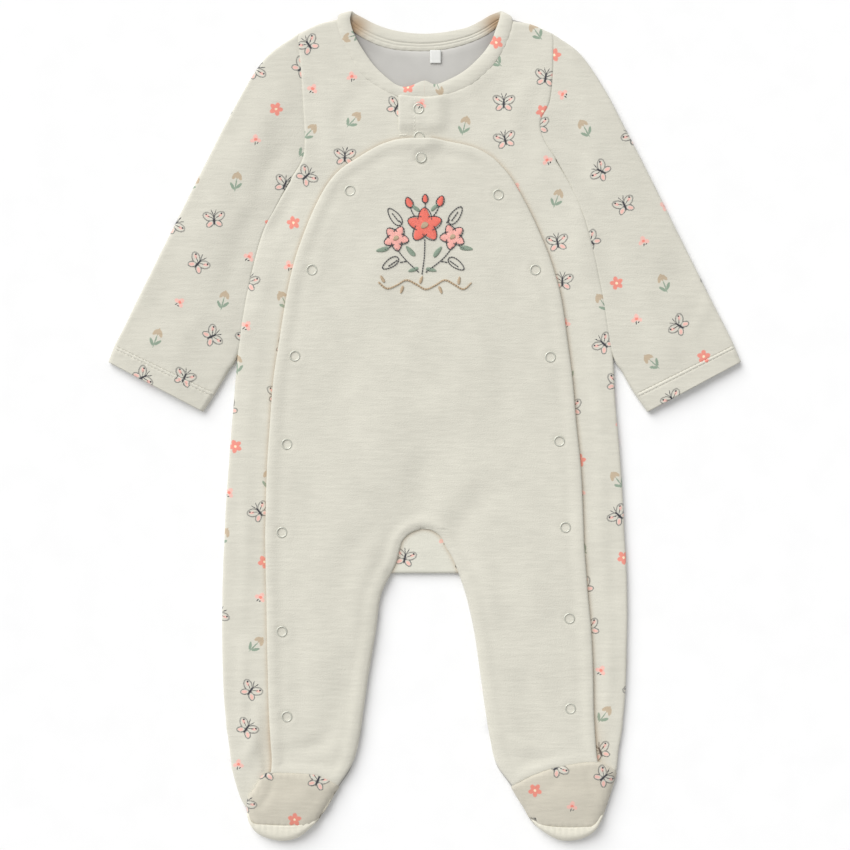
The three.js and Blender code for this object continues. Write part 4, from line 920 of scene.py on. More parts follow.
def mottled(tree, colour, *patterns):
    """A colour times its patterns' tones: the middle of each noise, 0.3 to 0.7, runs from low to high."""
    for pattern, low, high in patterns:
        tone = node(
            tree, "MapRange",
            {"Value": pattern, "From Min": 0.3, "From Max": 0.7, "To Min": low, "To Max": high},
        )
        colour = node(tree, "VectorMath", {0: colour, "Scale": tone}, operation="SCALE")
    return colour


def in_painted_shade(tree, colour, shade):
    """Painted shade: the colour turns to a shade tint where the piece's own fold attribute says that light
    doesn't reach.
    """
    depth = node(tree, "Attribute", attribute_name="fold")
    return node(
        tree, "Mix", {"Factor": depth.outputs["Fac"], "A": colour, "B": linear(shade)}, data_type="RGBA",
    ).outputs["Result"]


def surface(tree, inputs, height=None, strength=0.0, depth=0.0):
    """Ends a material: a bump of its pattern's height where it has one, the surface, and the output."""
    if height:
        inputs["Normal"] = node(tree, "Bump", {"Strength": strength, "Distance": depth, "Height": height})
    shader = node(tree, "BsdfPrincipled", inputs)
    node(tree, "OutputMaterial", {"Surface": shader})


# Each motif of the print is a few soft ellipses: ink, motif, then centre x, y, turn in degrees, half sizes in mm
BUD, TULIP, FLOWER, BUTTERFLY = 1, 2, 0, 3
PRINT_INKS = [
    (CHARCOAL, BUTTERFLY, [
        (-2.9, 1.6, -32, 3.35, 2.25), (2.9, 1.6, 32, 3.35, 2.25), (-2.2, -2.2, 38, 2.45, 1.65),
        (2.2, -2.2, -38, 2.45, 1.65), (-0.9, 4.0, 112, 1.5, 0.2), (0.9, 4.0, 68, 1.5, 0.2),
    ]),
    (PRINT_GROUND, BUTTERFLY, [
        (-2.95, 1.65, -32, 2.9, 1.85), (2.95, 1.65, 32, 2.9, 1.85), (-2.25, -2.25, 38, 2.0, 1.25),
        (2.25, -2.25, -38, 2.0, 1.25),
    ]),
    (PINK, BUTTERFLY, [
        (-2.4, -2.4, 38, 1.5, 0.85), (2.4, -2.4, -38, 1.5, 0.85), (-3.5, 2.1, -32, 1.3, 0.7),
        (3.5, 2.1, 32, 1.3, 0.7),
    ]),
    (CHARCOAL, BUTTERFLY, [
        (0, 0, 0, 0.5, 3.0), (-4.1, 3.0, 0, 0.5, 0.5), (4.1, 3.0, 0, 0.5, 0.5), (-1.9, 1.3, -32, 1.7, 0.2),
        (1.9, 1.3, 32, 1.7, 0.2),
    ]),
    (SAGE, TULIP, [(0, -2.6, 90, 3.6, 0.35), (-1.7, -3.4, 128, 2.2, 0.8), (1.7, -2.8, 52, 2.2, 0.8)]),
    (TAN, TULIP, [(-1.4, 2.2, 62, 2.1, 1.0), (1.4, 2.2, -62, 2.1, 1.0), (0, 2.8, 90, 2.0, 0.9)]),
    (CORAL, FLOWER, [
        (0, 2.0, 90, 1.7, 1.25), (1.9, 0.6, 18, 1.7, 1.25), (1.2, -1.6, -54, 1.7, 1.25),
        (-1.2, -1.6, 234, 1.7, 1.25), (-1.9, 0.6, 162, 1.7, 1.25),
    ]),
    (FLOWER_HEART, FLOWER, [(0, 0, 0, 0.7, 0.7)]),
    (PINK, BUD, [(0, 1.3, 90, 1.7, 1.3), (-1.5, -0.3, 20, 1.5, 1.1), (1.5, -0.3, -20, 1.5, 1.1)]),
    (CORAL, BUD, [(0, 0.2, 0, 0.9, 0.8)]),
    (CHARCOAL, BUD, [(-0.4, -1.9, 80, 0.9, 0.28), (0.9, -1.7, 40, 0.6, 0.28)]),
]
MOTIF_SCALE = 1.3
# Share of a cell and radians over which a motif's place and turn are spread, and the pile's fraying of its rim
MOTIF_DRIFT = 0.28
MOTIF_TURN = 1.5
MOTIF_FRAY = 0.0009
# An ellipse's soft rim, in shares of its half sizes
RIM_OUT, RIM_IN = 1.12, 0.86
PALE_INKS, PALE_STRENGTH = (CORAL, PINK, TAN), 0.8


def tossed_print(tree, ground, cell):
    """Half-drop print: every other column of cells is dropped by half a cell, and each cell holds one motif that
    is moved and turned by its own random numbers. A motif is the union of its ellipses, each of which is 1 where
    the way from its middle, in shares of its half sizes, is under 1."""
    place = node(tree, "UVMap", uv_map="cloth")
    fray = node(tree, "TexNoise", {"Vector": place, "Scale": 900.0, "Detail": 1.0})
    frayed = node(
        tree, "VectorMath", {0: fray.outputs["Color"], 1: (MOTIF_FRAY, MOTIF_FRAY, 0.0), 2: place},
        operation="MULTIPLY_ADD",
    )
    cells = node(tree, "VectorMath", {0: frayed, 1: (1 / cell, 1 / cell, 0.0)}, operation="MULTIPLY")
    split = node(tree, "SeparateXYZ", {0: cells})
    column = node(tree, "Math", {0: split}, operation="FLOOR")
    odd = node(tree, "Math", {0: column, 1: 2.0}, operation="FLOORED_MODULO")
    dropped = node(tree, "Math", {0: odd, 1: 0.5, 2: split.outputs[1]}, operation="MULTIPLY_ADD")
    row = node(tree, "Math", {0: dropped}, operation="FLOOR")
    number = node(tree, "CombineXYZ", {0: column, 1: row, 2: 7.0})
    chance = node(tree, "TexWhiteNoise", {"Vector": number}, noise_dimensions="3D")
    local_x = node(tree, "Math", {0: split}, operation="FRACT")
    local_y = node(tree, "Math", {0: dropped}, operation="FRACT")
    local = node(tree, "CombineXYZ", {0: local_x, 1: local_y, 2: 0.0})
    centre = MOTIF_DRIFT / 2 - 0.5
    spread = node(
        tree, "VectorMath",
        {0: chance.outputs["Color"], 1: (-MOTIF_DRIFT, -MOTIF_DRIFT, 0.0), 2: (centre, centre, 0.0)},
        operation="MULTIPLY_ADD",
    )
    centred = node(tree, "VectorMath", {0: local, 1: spread}, operation="ADD")
    in_mm = node(tree, "VectorMath", {0: centred, 1: (cell * 1000 / MOTIF_SCALE,) * 3}, operation="MULTIPLY")
    angle = node(
        tree, "Math", {0: chance.outputs["Value"], 1: MOTIF_TURN, 2: -MOTIF_TURN / 2},
        operation="MULTIPLY_ADD",
    )
    turned = node(tree, "VectorRotate", {"Vector": in_mm, "Angle": angle}, rotation_type="Z_AXIS")
    # Eight cells hold three butterflies, two tulips, two buds and one open flower: the number of the cell in its
    # eight, less whole fours, is the motif, and cell 4 holds a butterfly as well
    stagger = node(tree, "Math", {0: row, 1: 3.0, 2: column}, operation="MULTIPLY_ADD")
    eighth = node(tree, "Math", {0: stagger, 1: 8.0}, operation="FLOORED_MODULO")
    fifth = node(tree, "Math", {0: eighth, 1: 4.0, 2: 0.5}, operation="COMPARE")
    in_four = node(tree, "Math", {0: eighth, 1: 4.0}, operation="FLOORED_MODULO")
    kind = node(tree, "Math", {0: fifth, 1: float(BUTTERFLY), 2: in_four}, operation="MULTIPLY_ADD")
    colour = ground
    for ink, motif, ellipses in PRINT_INKS:
        cover = None
        for x, y, degrees, long, short in ellipses:
            place = node(
                tree, "Mapping",
                {
                    "Vector": turned, "Location": (x, y, 0.0), "Rotation": (0.0, 0.0, math.radians(degrees)),
                    "Scale": (long, short, 1.0),
                },
                vector_type="TEXTURE",
            )
            away = node(tree, "VectorMath", {0: place}, operation="LENGTH")
            shape = node(
                tree, "MapRange",
                {
                    "Value": away.outputs["Value"], "From Min": RIM_OUT, "From Max": RIM_IN, "To Min": 0.0,
                    "To Max": 1.0,
                },
            )
            cover = node(tree, "Math", {0: cover, 1: shape}, operation="MAXIMUM") if cover else shape
        here = node(tree, "Math", {0: kind, 1: float(motif), 2: 0.5}, operation="COMPARE")
        amount = node(tree, "Math", {0: cover, 1: here}, operation="MULTIPLY")
        strength = PALE_STRENGTH if ink in PALE_INKS else 1.0
        faded = node(tree, "Math", {0: amount, 1: strength}, operation="MULTIPLY")
        colour = node(
            tree, "Mix", {"Factor": faded, "A": colour, "B": linear(ink)}, data_type="RGBA",
        ).outputs["Result"]
    return colour


def velour(name, hex_code, cell=None, shading=1.0):
    """Cotton velour: a knit whose loops are sheared to a short upright pile. The eye gets a matt, chalky surface
    with soft blotches where the pile leans, fine cross rows of the knit, and a paler bloom where it turns away.
    The rows are drawn about 1.8 mm apart, coarser than a real knit's, so that they show."""
    material, tree, place = new_material(name)
    blotch = node(tree, "TexNoise", {"Vector": place, "Scale": 55.0, "Detail": 3.0, "Roughness": 0.6})
    rows = node(tree, "Mapping", {"Vector": place, "Scale": (70.0, 560.0, 300.0)})
    streak = node(tree, "TexNoise", {"Vector": rows, "Scale": 1.0, "Detail": 2.0})
    grain = node(tree, "TexNoise", {"Vector": place, "Scale": 1500.0, "Detail": 2.0})
    ground = linear(hex_code)
    colour = tossed_print(tree, ground, cell) if cell else ground[:3]
    # Pile that leans one way or the other is a few hundredths lighter or darker
    # A shading share under 1 darkens the whole colour: painted shade for the pieces that take it
    tinted = mottled(
        tree, colour, (blotch, 0.965 * shading, 1.03 * shading), (streak, 0.965, 1.03), (grain, 0.975, 1.02),
    )
    height = node(tree, "Math", {0: streak, 1: 0.8, 2: grain}, operation="MULTIPLY_ADD")
    surface(
        tree,
        {
            "Base Color": in_painted_shade(tree, tinted, PAINTED_SHADE_TAN), "Roughness": 0.95, "Specular IOR Level": 0.25,
            "Sheen Weight": 0.3, "Sheen Roughness": 0.55,
        },
        height, 0.45, 0.0005,
    )
    return material


def wrong_side():
    """The inside of the velour: a plain jersey back with tiny upright stitches, flatter than pile, and greyer
    partly as painted shade inside the neck.
    """
    material, tree, place = new_material("velour_wrong_side")
    ribs = node(tree, "TexWave", {"Vector": place, "Scale": 420.0, "Distortion": 2.5, "Detail": 1.0})
    blotch = node(tree, "TexNoise", {"Vector": place, "Scale": 60.0, "Detail": 3.0})
    tinted = mottled(tree, linear(WRONG_SIDE_AND_SHADE)[:3], (blotch, 0.96, 1.03))
    surface(
        tree, {"Base Color": in_painted_shade(tree, tinted, PAINTED_SHADE_GREY), "Roughness": 0.9, "Specular IOR Level": 0.3},
        ribs.outputs["Fac"], 0.15, 0.0002,
    )
    return material


def thread(name, hex_code):
    """Rayon or polyester thread: twisted filaments, brighter than the cloth, with a soft line of light."""
    material, tree, place = new_material(name)
    twist = node(tree, "TexNoise", {"Vector": place, "Scale": 2500.0, "Detail": 1.0})
    tinted = mottled(tree, linear(hex_code)[:3], (twist, 0.88, 1.08))
    surface(tree, {"Base Color": tinted, "Roughness": 0.45, "Sheen Weight": 0.2}, twist, 0.3, 0.0001)
    return material


def satin_tape():
    """Woven satin tape: smooth white polyester with very fine lengthwise floats that give it a soft gloss."""
    material, tree, place = new_material("satin_tape")
    stretched = node(tree, "Mapping", {"Vector": place, "Scale": (4000.0, 300.0, 300.0)})
    floats = node(tree, "TexNoise", {"Vector": stretched, "Scale": 1.0})
    tinted = mottled(tree, linear(TAPE_WHITE)[:3], (floats, 0.95, 1.02))
    surface(tree, {"Base Color": tinted, "Roughness": 0.4}, floats, 0.2, 0.0001)
    return material


def lacquered_ring():
    """Pressed brass prong ring with a thin pale lacquer: satin metal, a little mottled, with soft highlights."""
    material, tree, place = new_material("lacquered_ring")
    wear = node(tree, "TexNoise", {"Vector": place, "Scale": 700.0, "Detail": 3.0})
    tinted = mottled(tree, linear(SNAP_METAL)[:3], (wear, 0.9, 1.05))
    rough = node(
        tree, "MapRange",
        {"Value": wear, "From Min": 0.3, "From Max": 0.7, "To Min": 0.3, "To Max": 0.45},
    )
    surface(tree, {"Base Color": tinted, "Metallic": 0.45, "Roughness": rough})
    return material


def paper_floor():
    """A roll of matt white background paper: even, with hardly any texture."""
    material, tree, place = new_material("background_paper")
    fibre = node(tree, "TexNoise", {"Vector": place, "Scale": 40.0, "Detail": 2.0})
    tinted = mottled(tree, (1.0, 1.0, 1.0), (fibre, 0.93, 0.95))
    surface(tree, {"Base Color": tinted, "Roughness": 0.9})
    return material


# In metres: half width of the floor, its height, and the height of the cloth that the camera's view is set for
FLOOR_HALF = 12.0
FLOOR_Z = -0.0003
CLOTH_Z = 0.004


class SleepsuitCloth(bpy.types.PropertyGroup):
    """Colours and print of the velour."""
    cream: bpy.props.StringProperty(
        name="Velour", description="sRGB hex colour of the plain velour", default=CREAM,
    )
    ground: bpy.props.StringProperty(
        name="Printed ground", description="sRGB hex colour under the print", default=PRINT_GROUND,
    )
    cell: bpy.props.FloatProperty(
        name="Print repeat", description="Width of the cell that holds one motif", default=0.0298, unit="LENGTH",
    )
    # Painted shade: the insteps take a darker copy of the printed velour, for the shade on their slope
    instep_painted_shade: bpy.props.FloatProperty(
        name="Instep nap", description="Share of the light that the insteps' pile gives back, as it leans away",
        default=0.9, subtype="FACTOR",
    )
    # Painted shade: the sleeves take a slightly darker copy of the printed velour, to tone down the light on them
    sleeve_painted_shade: bpy.props.FloatProperty(
        name="Sleeve nap", description="Share of the light that the sleeves' pile gives back, as it leans away",
        default=0.965, subtype="FACTOR",
    )


class SleepsuitTrim(bpy.types.PropertyGroup):
    """Sizes of threads and stitches."""
    needle_thread: bpy.props.FloatProperty(
        name="Sewing thread", description="Thickness of the hems' needle thread", default=0.00045, unit="LENGTH",
    )
    stitch: bpy.props.FloatProperty(
        name="Stitch length", description="Length of one stitch of the hems", default=0.0026, unit="LENGTH",
    )
    satin: bpy.props.FloatProperty(
        name="Satin stitch spacing", description="Distance between two threads of the embroidery",
        default=0.00042, unit="LENGTH",
    )


class SleepsuitStage(bpy.types.PropertyGroup):
    """Camera and light."""
    lens: bpy.props.FloatProperty(
        name="Lens", description="Focal length of the camera", default=0.085, unit="LENGTH",
    )
    view_width: bpy.props.FloatProperty(
        name="View width", description="Width of the surface that the camera shows", default=0.595, unit="LENGTH",
    )
    key: bpy.props.FloatProperty(
        name="Main light", description="Strength of the large soft light from the upper left", default=2.75,
    )
    key_height: bpy.props.FloatProperty(
        name="Main light's height", description="Angle of the main light above the surface",
        default=math.radians(40), subtype="ANGLE",
    )
    key_turn: bpy.props.FloatProperty(
        name="Main light's side", description="Turn of the main light from the top of the picture to the left",
        default=math.radians(38), subtype="ANGLE",
    )
    key_size: bpy.props.FloatProperty(
        name="Main light's size", description="How wide the main light looks from the cloth",
        default=math.radians(50), subtype="ANGLE",
    )
    sky: bpy.props.FloatProperty(
        name="Studio fill", description="Strength of the even light from all round", default=0.5,
    )


def suit_cloth(context, printed=True):
    """The plain or the printed velour, which the first operator that needs it makes."""
    settings = context.scene.sleepsuit_cloth
    name = "cotton_velour_printed" if printed else "cotton_velour_plain"
    look = (settings.ground, settings.cell) if printed else (settings.cream,)
    return bpy.data.materials.get(name) or velour(name, *look)


def strip_grid(rows, corners, fine_start, fine_end):
    """Printed front: from the outer edge to the bib's edge, and on beneath the bib, square to that edge."""
    dense = rails(rows, GRID, corners, (fine_start, fine_end))
    a, b, under = dense[:, :2], dense[:, 2:4], dense[:, 4]
    first = int(np.argmax(under > 0.999))
    seen = np.arange(first, len(dense))
    walked = np.concatenate([np.zeros(first), way_along(b[first:])])

    def edge_at(way):
        way = np.clip(way, 0, walked[-1])
        return np.column_stack([np.interp(way, walked[seen], b[seen, k]) for k in range(2)])

    along = edge_at(walked + HIDDEN_MARGIN) - edge_at(walked - HIDDEN_MARGIN)
    square = unit(np.column_stack([-along[:, 1], along[:, 0]]))
    square *= np.sign((square * (b - a)).sum(1))[:, None]
    turned = smooth(0, PLACKET_BLEND, np.linalg.norm(b - b[first], axis=1))[:, None]
    square = unit(np.array([[0.0, -1.0]]) * (1 - turned) + square * turned)
    columns = shares(row_widths(dense), FRONT_COLUMNS, (True, False))
    shown = across(dense, columns)
    out = np.linspace(0, 1, HIDDEN_COLUMNS + 1)[1:]
    hidden = b[:, None] + square[:, None] * (HIDDEN_MARGIN * under[:, None] * out)[..., None]
    return np.concatenate([shown, hidden], axis=1)


def patch(rows, spacing, count, ends, sides=(True, True), first=None):
    """A grid between two edges, with close rows and columns at its cut ends and sides; first is its first row."""
    pairs = rails(rows, spacing, (), ends)
    grid = across(pairs, shares(row_widths(pairs), count, sides))
    if first is not None:
        grid[0] = first
    return grid


def bib_grids():
    """The bib's arch and body in one grid, and a grid for each leg that goes on from its half of the last row."""
    pairs = rails(BIB_BODY, GRID, (), (True, False))
    body = across(pairs, two_halves(pairs, BIB_SPLIT, BIB_COLUMNS))
    middle = body.shape[1] // 2
    grids = [body]
    for rows, hem, first in (
        (BIB_LEG_LEFT, BIB_HEM_LEFT, body[-1, :middle + 1]), (BIB_LEG_RIGHT, BIB_HEM_RIGHT, body[-1, middle:]),
    ):
        leg = patch(rows, GRID, BIB_COLUMNS, (False, True), first=first)
        grids.append(bend(leg[::-1], hem, HEM_REACH)[::-1])
    return grids


def back_grids():
    """The back's body, its legs and the two sides of each heel; every grid goes on from the one above."""
    edge = np.array([0, 0.003, 0.008, 0.015, 0.025])
    half = np.concatenate([edge, np.linspace(0.045, 0.955, 24), 1 - edge[::-1]])

    def below(rows, share, first):
        pairs = rails(rows, OUTLINE_GRID)
        grid = across(pairs, np.tile(share, (len(pairs), 1)))
        grid[0] = first
        return grid

    pairs = rails(BACK_BODY, OUTLINE_GRID, BACK_CORNERS)
    columns = np.concatenate([half * BACK_SPLIT, BACK_SPLIT + half[1:] * (1 - BACK_SPLIT)])
    body = bend(across(pairs, np.tile(columns, (len(pairs), 1))), BACK_TOP, SHOULDER_REACH)
    middle, heel = len(half) - 1, len(half) // 2
    left = below(BACK_LEG_LEFT, half, body[-1, :middle + 1])
    right = below(BACK_LEG_RIGHT, half, body[-1, middle:])
    grids = [body, left, right]
    for rows, first in (
        (HEEL_OUT_LEFT, left[-1, :heel + 1]), (HEEL_IN_LEFT, left[-1, heel:]),
        (HEEL_IN_RIGHT, right[-1, :heel + 1]), (HEEL_OUT_RIGHT, right[-1, heel:]),
    ):
        share = np.linalg.norm(first - first[0], axis=1) / np.linalg.norm(first[-1] - first[0])
        grids.append(below(rows, share, first))
    return grids


# Columns of a sleeve's ring: in each quarter circle, and across each layer; and the ones on top
SLEEVE_ROUND = 5
SLEEVE_FLAT = 52
SLEEVE_TOP = slice(SLEEVE_ROUND - 1, SLEEVE_ROUND + SLEEVE_FLAT + 1)
# The row that the armhole's edge is pulled away from
SLEEVE_ROW = 12


def sleeve_stations(length):
    """Rows along a sleeve: close ones next to the armhole and from the twin needle line to the hem's end."""
    hem = length - HEM_LINE
    return np.concatenate([
        EDGE_STEPS[:-1], np.arange(EDGE_STEPS[-1], hem - 5, GRID), np.arange(hem - 4.6, hem + 4.4, 0.4),
        np.linspace(hem + 4.8, length, 10),
    ])


def sleeve_grid(rows, armhole):
    """A flat tube: each ring runs over the top, round the inner fold in a half circle and back underneath. Its
    upper layer is domed by a sine of the share across, and carries creases, the hem's step, its two needle rows
    as narrow bells, and the puckers between them."""
    rows = np.asarray(rows, float)
    t = np.linspace(0, 1, 400)
    line = catmull(rows, t)
    length = way_along((line[:, :2] + line[:, 2:4]) / 2)
    walked = sleeve_stations(length[-1])
    pairs = catmull(rows, np.interp(walked, length, t))
    width = row_widths(pairs)[:, None]
    radius = (SLEEVE_HEIGHT - SLEEVE_WALL) / 2
    inset = SLEEVE_WALL / 2
    turn = np.linspace(0, math.pi / 2, SLEEVE_ROUND + 1)[None, :-1]
    ends = inset + radius
    flat = ends + (width - 2 * ends) * np.linspace(0, 1, SLEEVE_FLAT)[None]
    round_off = np.broadcast_to(inset + radius * (1 - np.cos(turn)), (len(width), SLEEVE_ROUND))
    away = np.hstack([
        round_off, flat, width - round_off[:, ::-1],
        width - round_off[:, 1:], flat[:, ::-1], round_off[:, :0:-1],
    ])
    high, over = np.sin(turn[0]), np.ones(SLEEVE_FLAT)
    rise = np.concatenate([high, over, high[::-1], -high[1:], -over, -high[:0:-1]])[None]
    share = away / width
    reach = SLEEVE_UNDER * smooth(44, 62, pairs[:, 3])
    pairs[:, 2:4] += (pairs[:, 2:4] - pairs[:, :2]) / width * reach[:, None]
    shift = even(armhole, share[0]) - across(pairs[:1], share[:1])[0]
    weight = np.clip(1 - walked / ARMHOLE_REACH, 0, None) ** 2
    plan = across(pairs, share) + shift[None] * weight[:, None, None]
    upwards = unit(plan[:1] - plan[SLEEVE_ROW:SLEEVE_ROW + 1])
    plan = plan + upwards * (ARMHOLE_TUCK * bell(walked, 3.5))[:, None, None]
    upper = rise > 0.999
    settle = np.clip(walked / 30, 0, 1)[:, None]
    z = SLEEVE_HEIGHT / 2 + radius * rise + SLEEVE_DOME * np.sin(math.pi * share) * settle * upper
    spots = plan.reshape(-1, 2)
    inside = np.minimum(away, width - away)
    fold = laid(spots, SLEEVE_CREASES, 1.4, inside.ravel(), 12).reshape(z.shape)
    to_line = walked[:, None] - (length[-1] - HEM_LINE)
    needles = sum(bell(to_line - side, NEEDLE["width"]) for side in (-NEEDLES_APART / 2, NEEDLES_APART / 2))
    gathers = puckers("hem", away) * bell(to_line, 3.5)
    step = HEM_STEP * smooth(-1.5, 0.5, to_line)
    hem = step - NEEDLE["depth"] * needles + gathers + HEM_RIDGE["height"] * bell(to_line, HEM_RIDGE["width"])
    groove = ARMHOLE_GROOVE["depth"] * bell(walked[:, None], ARMHOLE_GROOVE["width"])
    z = z + (fold * settle + hem - groove) * upper
    # The print lies along the sleeve, and the lower layer's is its mirror image
    axis = unit(plan[0].mean(0) - plan[-1].mean(0))
    side = plan @ np.array([axis[1], -axis[0]])
    cloth = np.stack([np.where(rise >= 0, side, 2 * side[:, :1] - side), plan @ axis], -1)
    # Half the cross product of its diagonals is each cell's area; the two layers add up to the whole cut
    down, up = plan[1:, 1:] - plan[:-1, :-1], plan[1:, :-1] - plan[:-1, 1:]
    area = float(np.abs(down[..., 0] * up[..., 1] - down[..., 1] * up[..., 0]).sum() / 2) * 1e-6
    return np.concatenate([plan, z[..., None]], -1), cloth, length[-1], float(width.max()), area


def sole_grid(plate_rows, toe_rows):
    """Sole: a flat plate, then a toe end that turns up and back to the toe seam along a smooth profile."""
    half = SOLE_WALL / 2
    share = shares(np.array([46.0]), 34)[0]
    pairs = rails(plate_rows, 3.0)
    plate = across(pairs, np.tile(share, (len(pairs), 1)))
    plate = np.concatenate([plate, np.full(plate.shape[:2] + (1,), half)], -1)[:-1]
    toe_rows = np.asarray(toe_rows, float)
    ball, tip, seam = (even(toe_rows[:, k:k + 2], share) for k in (0, 2, 4))
    inward = np.minimum(0.5, half / np.linalg.norm(tip - ball, axis=1))[:, None]
    inner = tip + (ball - tip) * inward
    profile = [np.column_stack([ball, np.full(len(ball), half)])]
    taper = 0.42 + 0.58 * quarter(np.minimum(share, 1 - share) / 0.3)
    for out, back, z in TOE_TURN:
        spot = inner + (seam - inner) * back if back else ball + (inner - ball) * out
        profile.append(np.column_stack([spot, half + z * taper]))
    turn = catmull(np.stack(profile), np.linspace(0, 1, 40))
    # The fuller toe end is eased onto the instep
    depth = np.linspace(0, 1, 40)[:, None]
    turn[..., 2] += puckers("toe", turn[..., 0]) * smooth(0.72, 0.95, depth)
    grid = np.concatenate([plate, turn])
    walked = way_along(grid[:, len(share) // 2])
    cloth = np.stack([grid[..., 0], np.broadcast_to(-walked[:, None], grid.shape[:2])], -1)
    return grid, cloth, walked[-1]


def corner_shade(points, reach):
    """Painted shade: 1 in the neck's corners and falling off as a bell."""
    return bell(np.sqrt(((points[:, None] - np.array(NECK_CORNERS)) ** 2).sum(-1)).min(1), reach)


def bib_edge():
    """The bib's outer edges, from the top of the arch down both sides."""
    edges = ((0, BIB_BODY), (1, BIB_BODY), (0, BIB_LEG_LEFT), (1, BIB_LEG_RIGHT))
    return np.concatenate([segments_of(rails(rows, 5.0)[:, 2 * side:2 * side + 2]) for side, rows in edges])


def front_shade(points):
    """Painted shade: the fronts turn to a warm tint along the bib's edge, and further out at the ankles."""
    away = distance(points, bib_edge())
    return 0.3 * bell(away, 1.9) + 0.2 * bell(away, 6.5) * smooth(-185, -225, points[:, 1])


def back_shade(points):
    """Painted shade: inside the neck the back darkens towards the corners."""
    return 0.8 * corner_shade(points, 19)


def neckband_grid():
    """Binding: a flattened roll along the neck, crowned across by a sine, with bell-shaped grooves along its back
    half, and a wall that thins to both edges by the fourth power of the way from the middle."""
    band = catmull(NECKBAND, np.linspace(0, 1, 420, endpoint=False), closed=True)
    share = np.concatenate([[0, 0.03, 0.08], np.linspace(0.14, 0.9, 20), [0.95, 1]])
    behind = 1 - smooth(1.0, 2.4, band[:, 2])[:, None]
    out = unit(band[:, 3:5] - band[:, :2])
    band[:, 3:5] += out * BINDING_OVER
    band[:, :2] -= out * BINDING_IN * behind
    band[:, 1::3] += SHOULDER["push"] * bell(band[:, 2:3] - SHOULDER["z"], SHOULDER["width"])
    free, sewn = band[:, None, :3], band[:, None, 3:]
    grid = free + (sewn - free) * share[None, :, None]
    crown = BINDING_CROWN * np.sin(math.pi * share)[None] * (1 - 0.3 * behind)
    groove = behind * sum(depth * bell(share - middle, width) for middle, depth, width in BINDING_GROOVES)[None]
    walked = way_along(band[:, 3:5])
    gathers = puckers("neck", walked)[:, None] * smooth(0.6, 1, share)[None]
    grid[..., 2] += crown - groove + gathers
    wall = TRIM_WALL * (0.45 + 0.55 * (1 - (2 * share - 1) ** 4))
    # The strip is cut so that whole motifs lie along its middle
    cloth = np.stack(np.broadcast_arrays(walked[:, None], share[None] * 10 + 10), -1)
    # Painted shade on the binding's back half, round the neck's corners
    fold = corner_shade(grid[..., :2].reshape(-1, 2), 9.5).reshape(grid.shape[:2]) * behind * 0.9
    return grid, wall[None], cloth, walked[-1], fold


def gusset_grid():
    """Crotch piece: straight rows between two curved ends, folded along its lower edge. Its painted shade is a
    bell of the distance to the seam."""
    rows = catmull(GUSSET, np.linspace(0, 1, 90))
    share = shares(np.array([44.0]), 22)[0]
    left, right = rows[:, 2:3] - GUSSET_TUCK, rows[:, 3:4] + GUSSET_TUCK
    walked = way_along(rows[:, :2])
    x, y, z, down = np.broadcast_arrays(
        left + (right - left) * share[None], rows[:, :1], rows[:, 1:2], -walked[:, None],
    )
    seam = distance(np.column_stack([x.ravel(), y.ravel()]), CROTCH).reshape(x.shape)
    return np.stack([x, y, z], -1), np.stack([x, down], -1), walked[-1], GUSSET_SHADE * bell(seam, 1.6)


def label_grid():
    """A tape folded into a loop: the lower layer, a tight half circle, and the upper layer, a little hollow."""
    radius = (LABEL["wall"] - 0.3) / 2
    middle = WALL + LABEL["clear"] + LABEL["wall"] / 2
    bottom = LABEL["y"] - LABEL["length"] / 2 + radius + 0.15
    top = LABEL["y"] + LABEL["length"] / 2
    layer = np.full(10, radius)
    turn = np.linspace(-math.pi / 2, math.pi / 2, 9)[1:-1]
    down = np.linspace(top, bottom, 10)
    y = np.concatenate([down, bottom - radius * np.cos(turn), down[::-1]])
    z = middle + np.concatenate([-layer, radius * np.sin(turn), layer])
    z[17:] -= 0.2 * bell(y[17:] - bottom - 1.6, 0.5)
    x = LABEL["x"] + LABEL["width"] * np.linspace(-0.5, 0.5, 8)
    return np.stack(np.broadcast_arrays(x[None], y[:, None], z[:, None]), -1)


def cloth_top(points, under, relief):
    """Height of a sheet's upper face away from its edges."""
    return under(points) + WALL + relief(points, np.full(len(points), 20.0))


def bib_top(points):
    """Height of the bib's face."""
    return cloth_top(points, bib_under, bib_relief)


def front_right_top(points):
    """Height of the right front's face."""
    return cloth_top(points, front_right_under, front_relief)


def ring_piece(name, spot, height, material):
    """A snap's ring: a round-topped profile turned once about its axis."""
    turn = np.linspace(0, 2 * math.pi, RING_SIDES, endpoint=False)[:, None]
    radius, z = RING_PROFILE[None, :, 0], RING_PROFILE[None, :, 1]
    points = np.stack(np.broadcast_arrays(
        spot[0] + radius * np.cos(turn), spot[1] + radius * np.sin(turn), height + z,
    ), -1).reshape(-1, 3)
    _, faces = grid_quads(RING_SIDES, len(RING_PROFILE), True, True)
    return make_piece(name, points, turned_out(points, faces), [material])


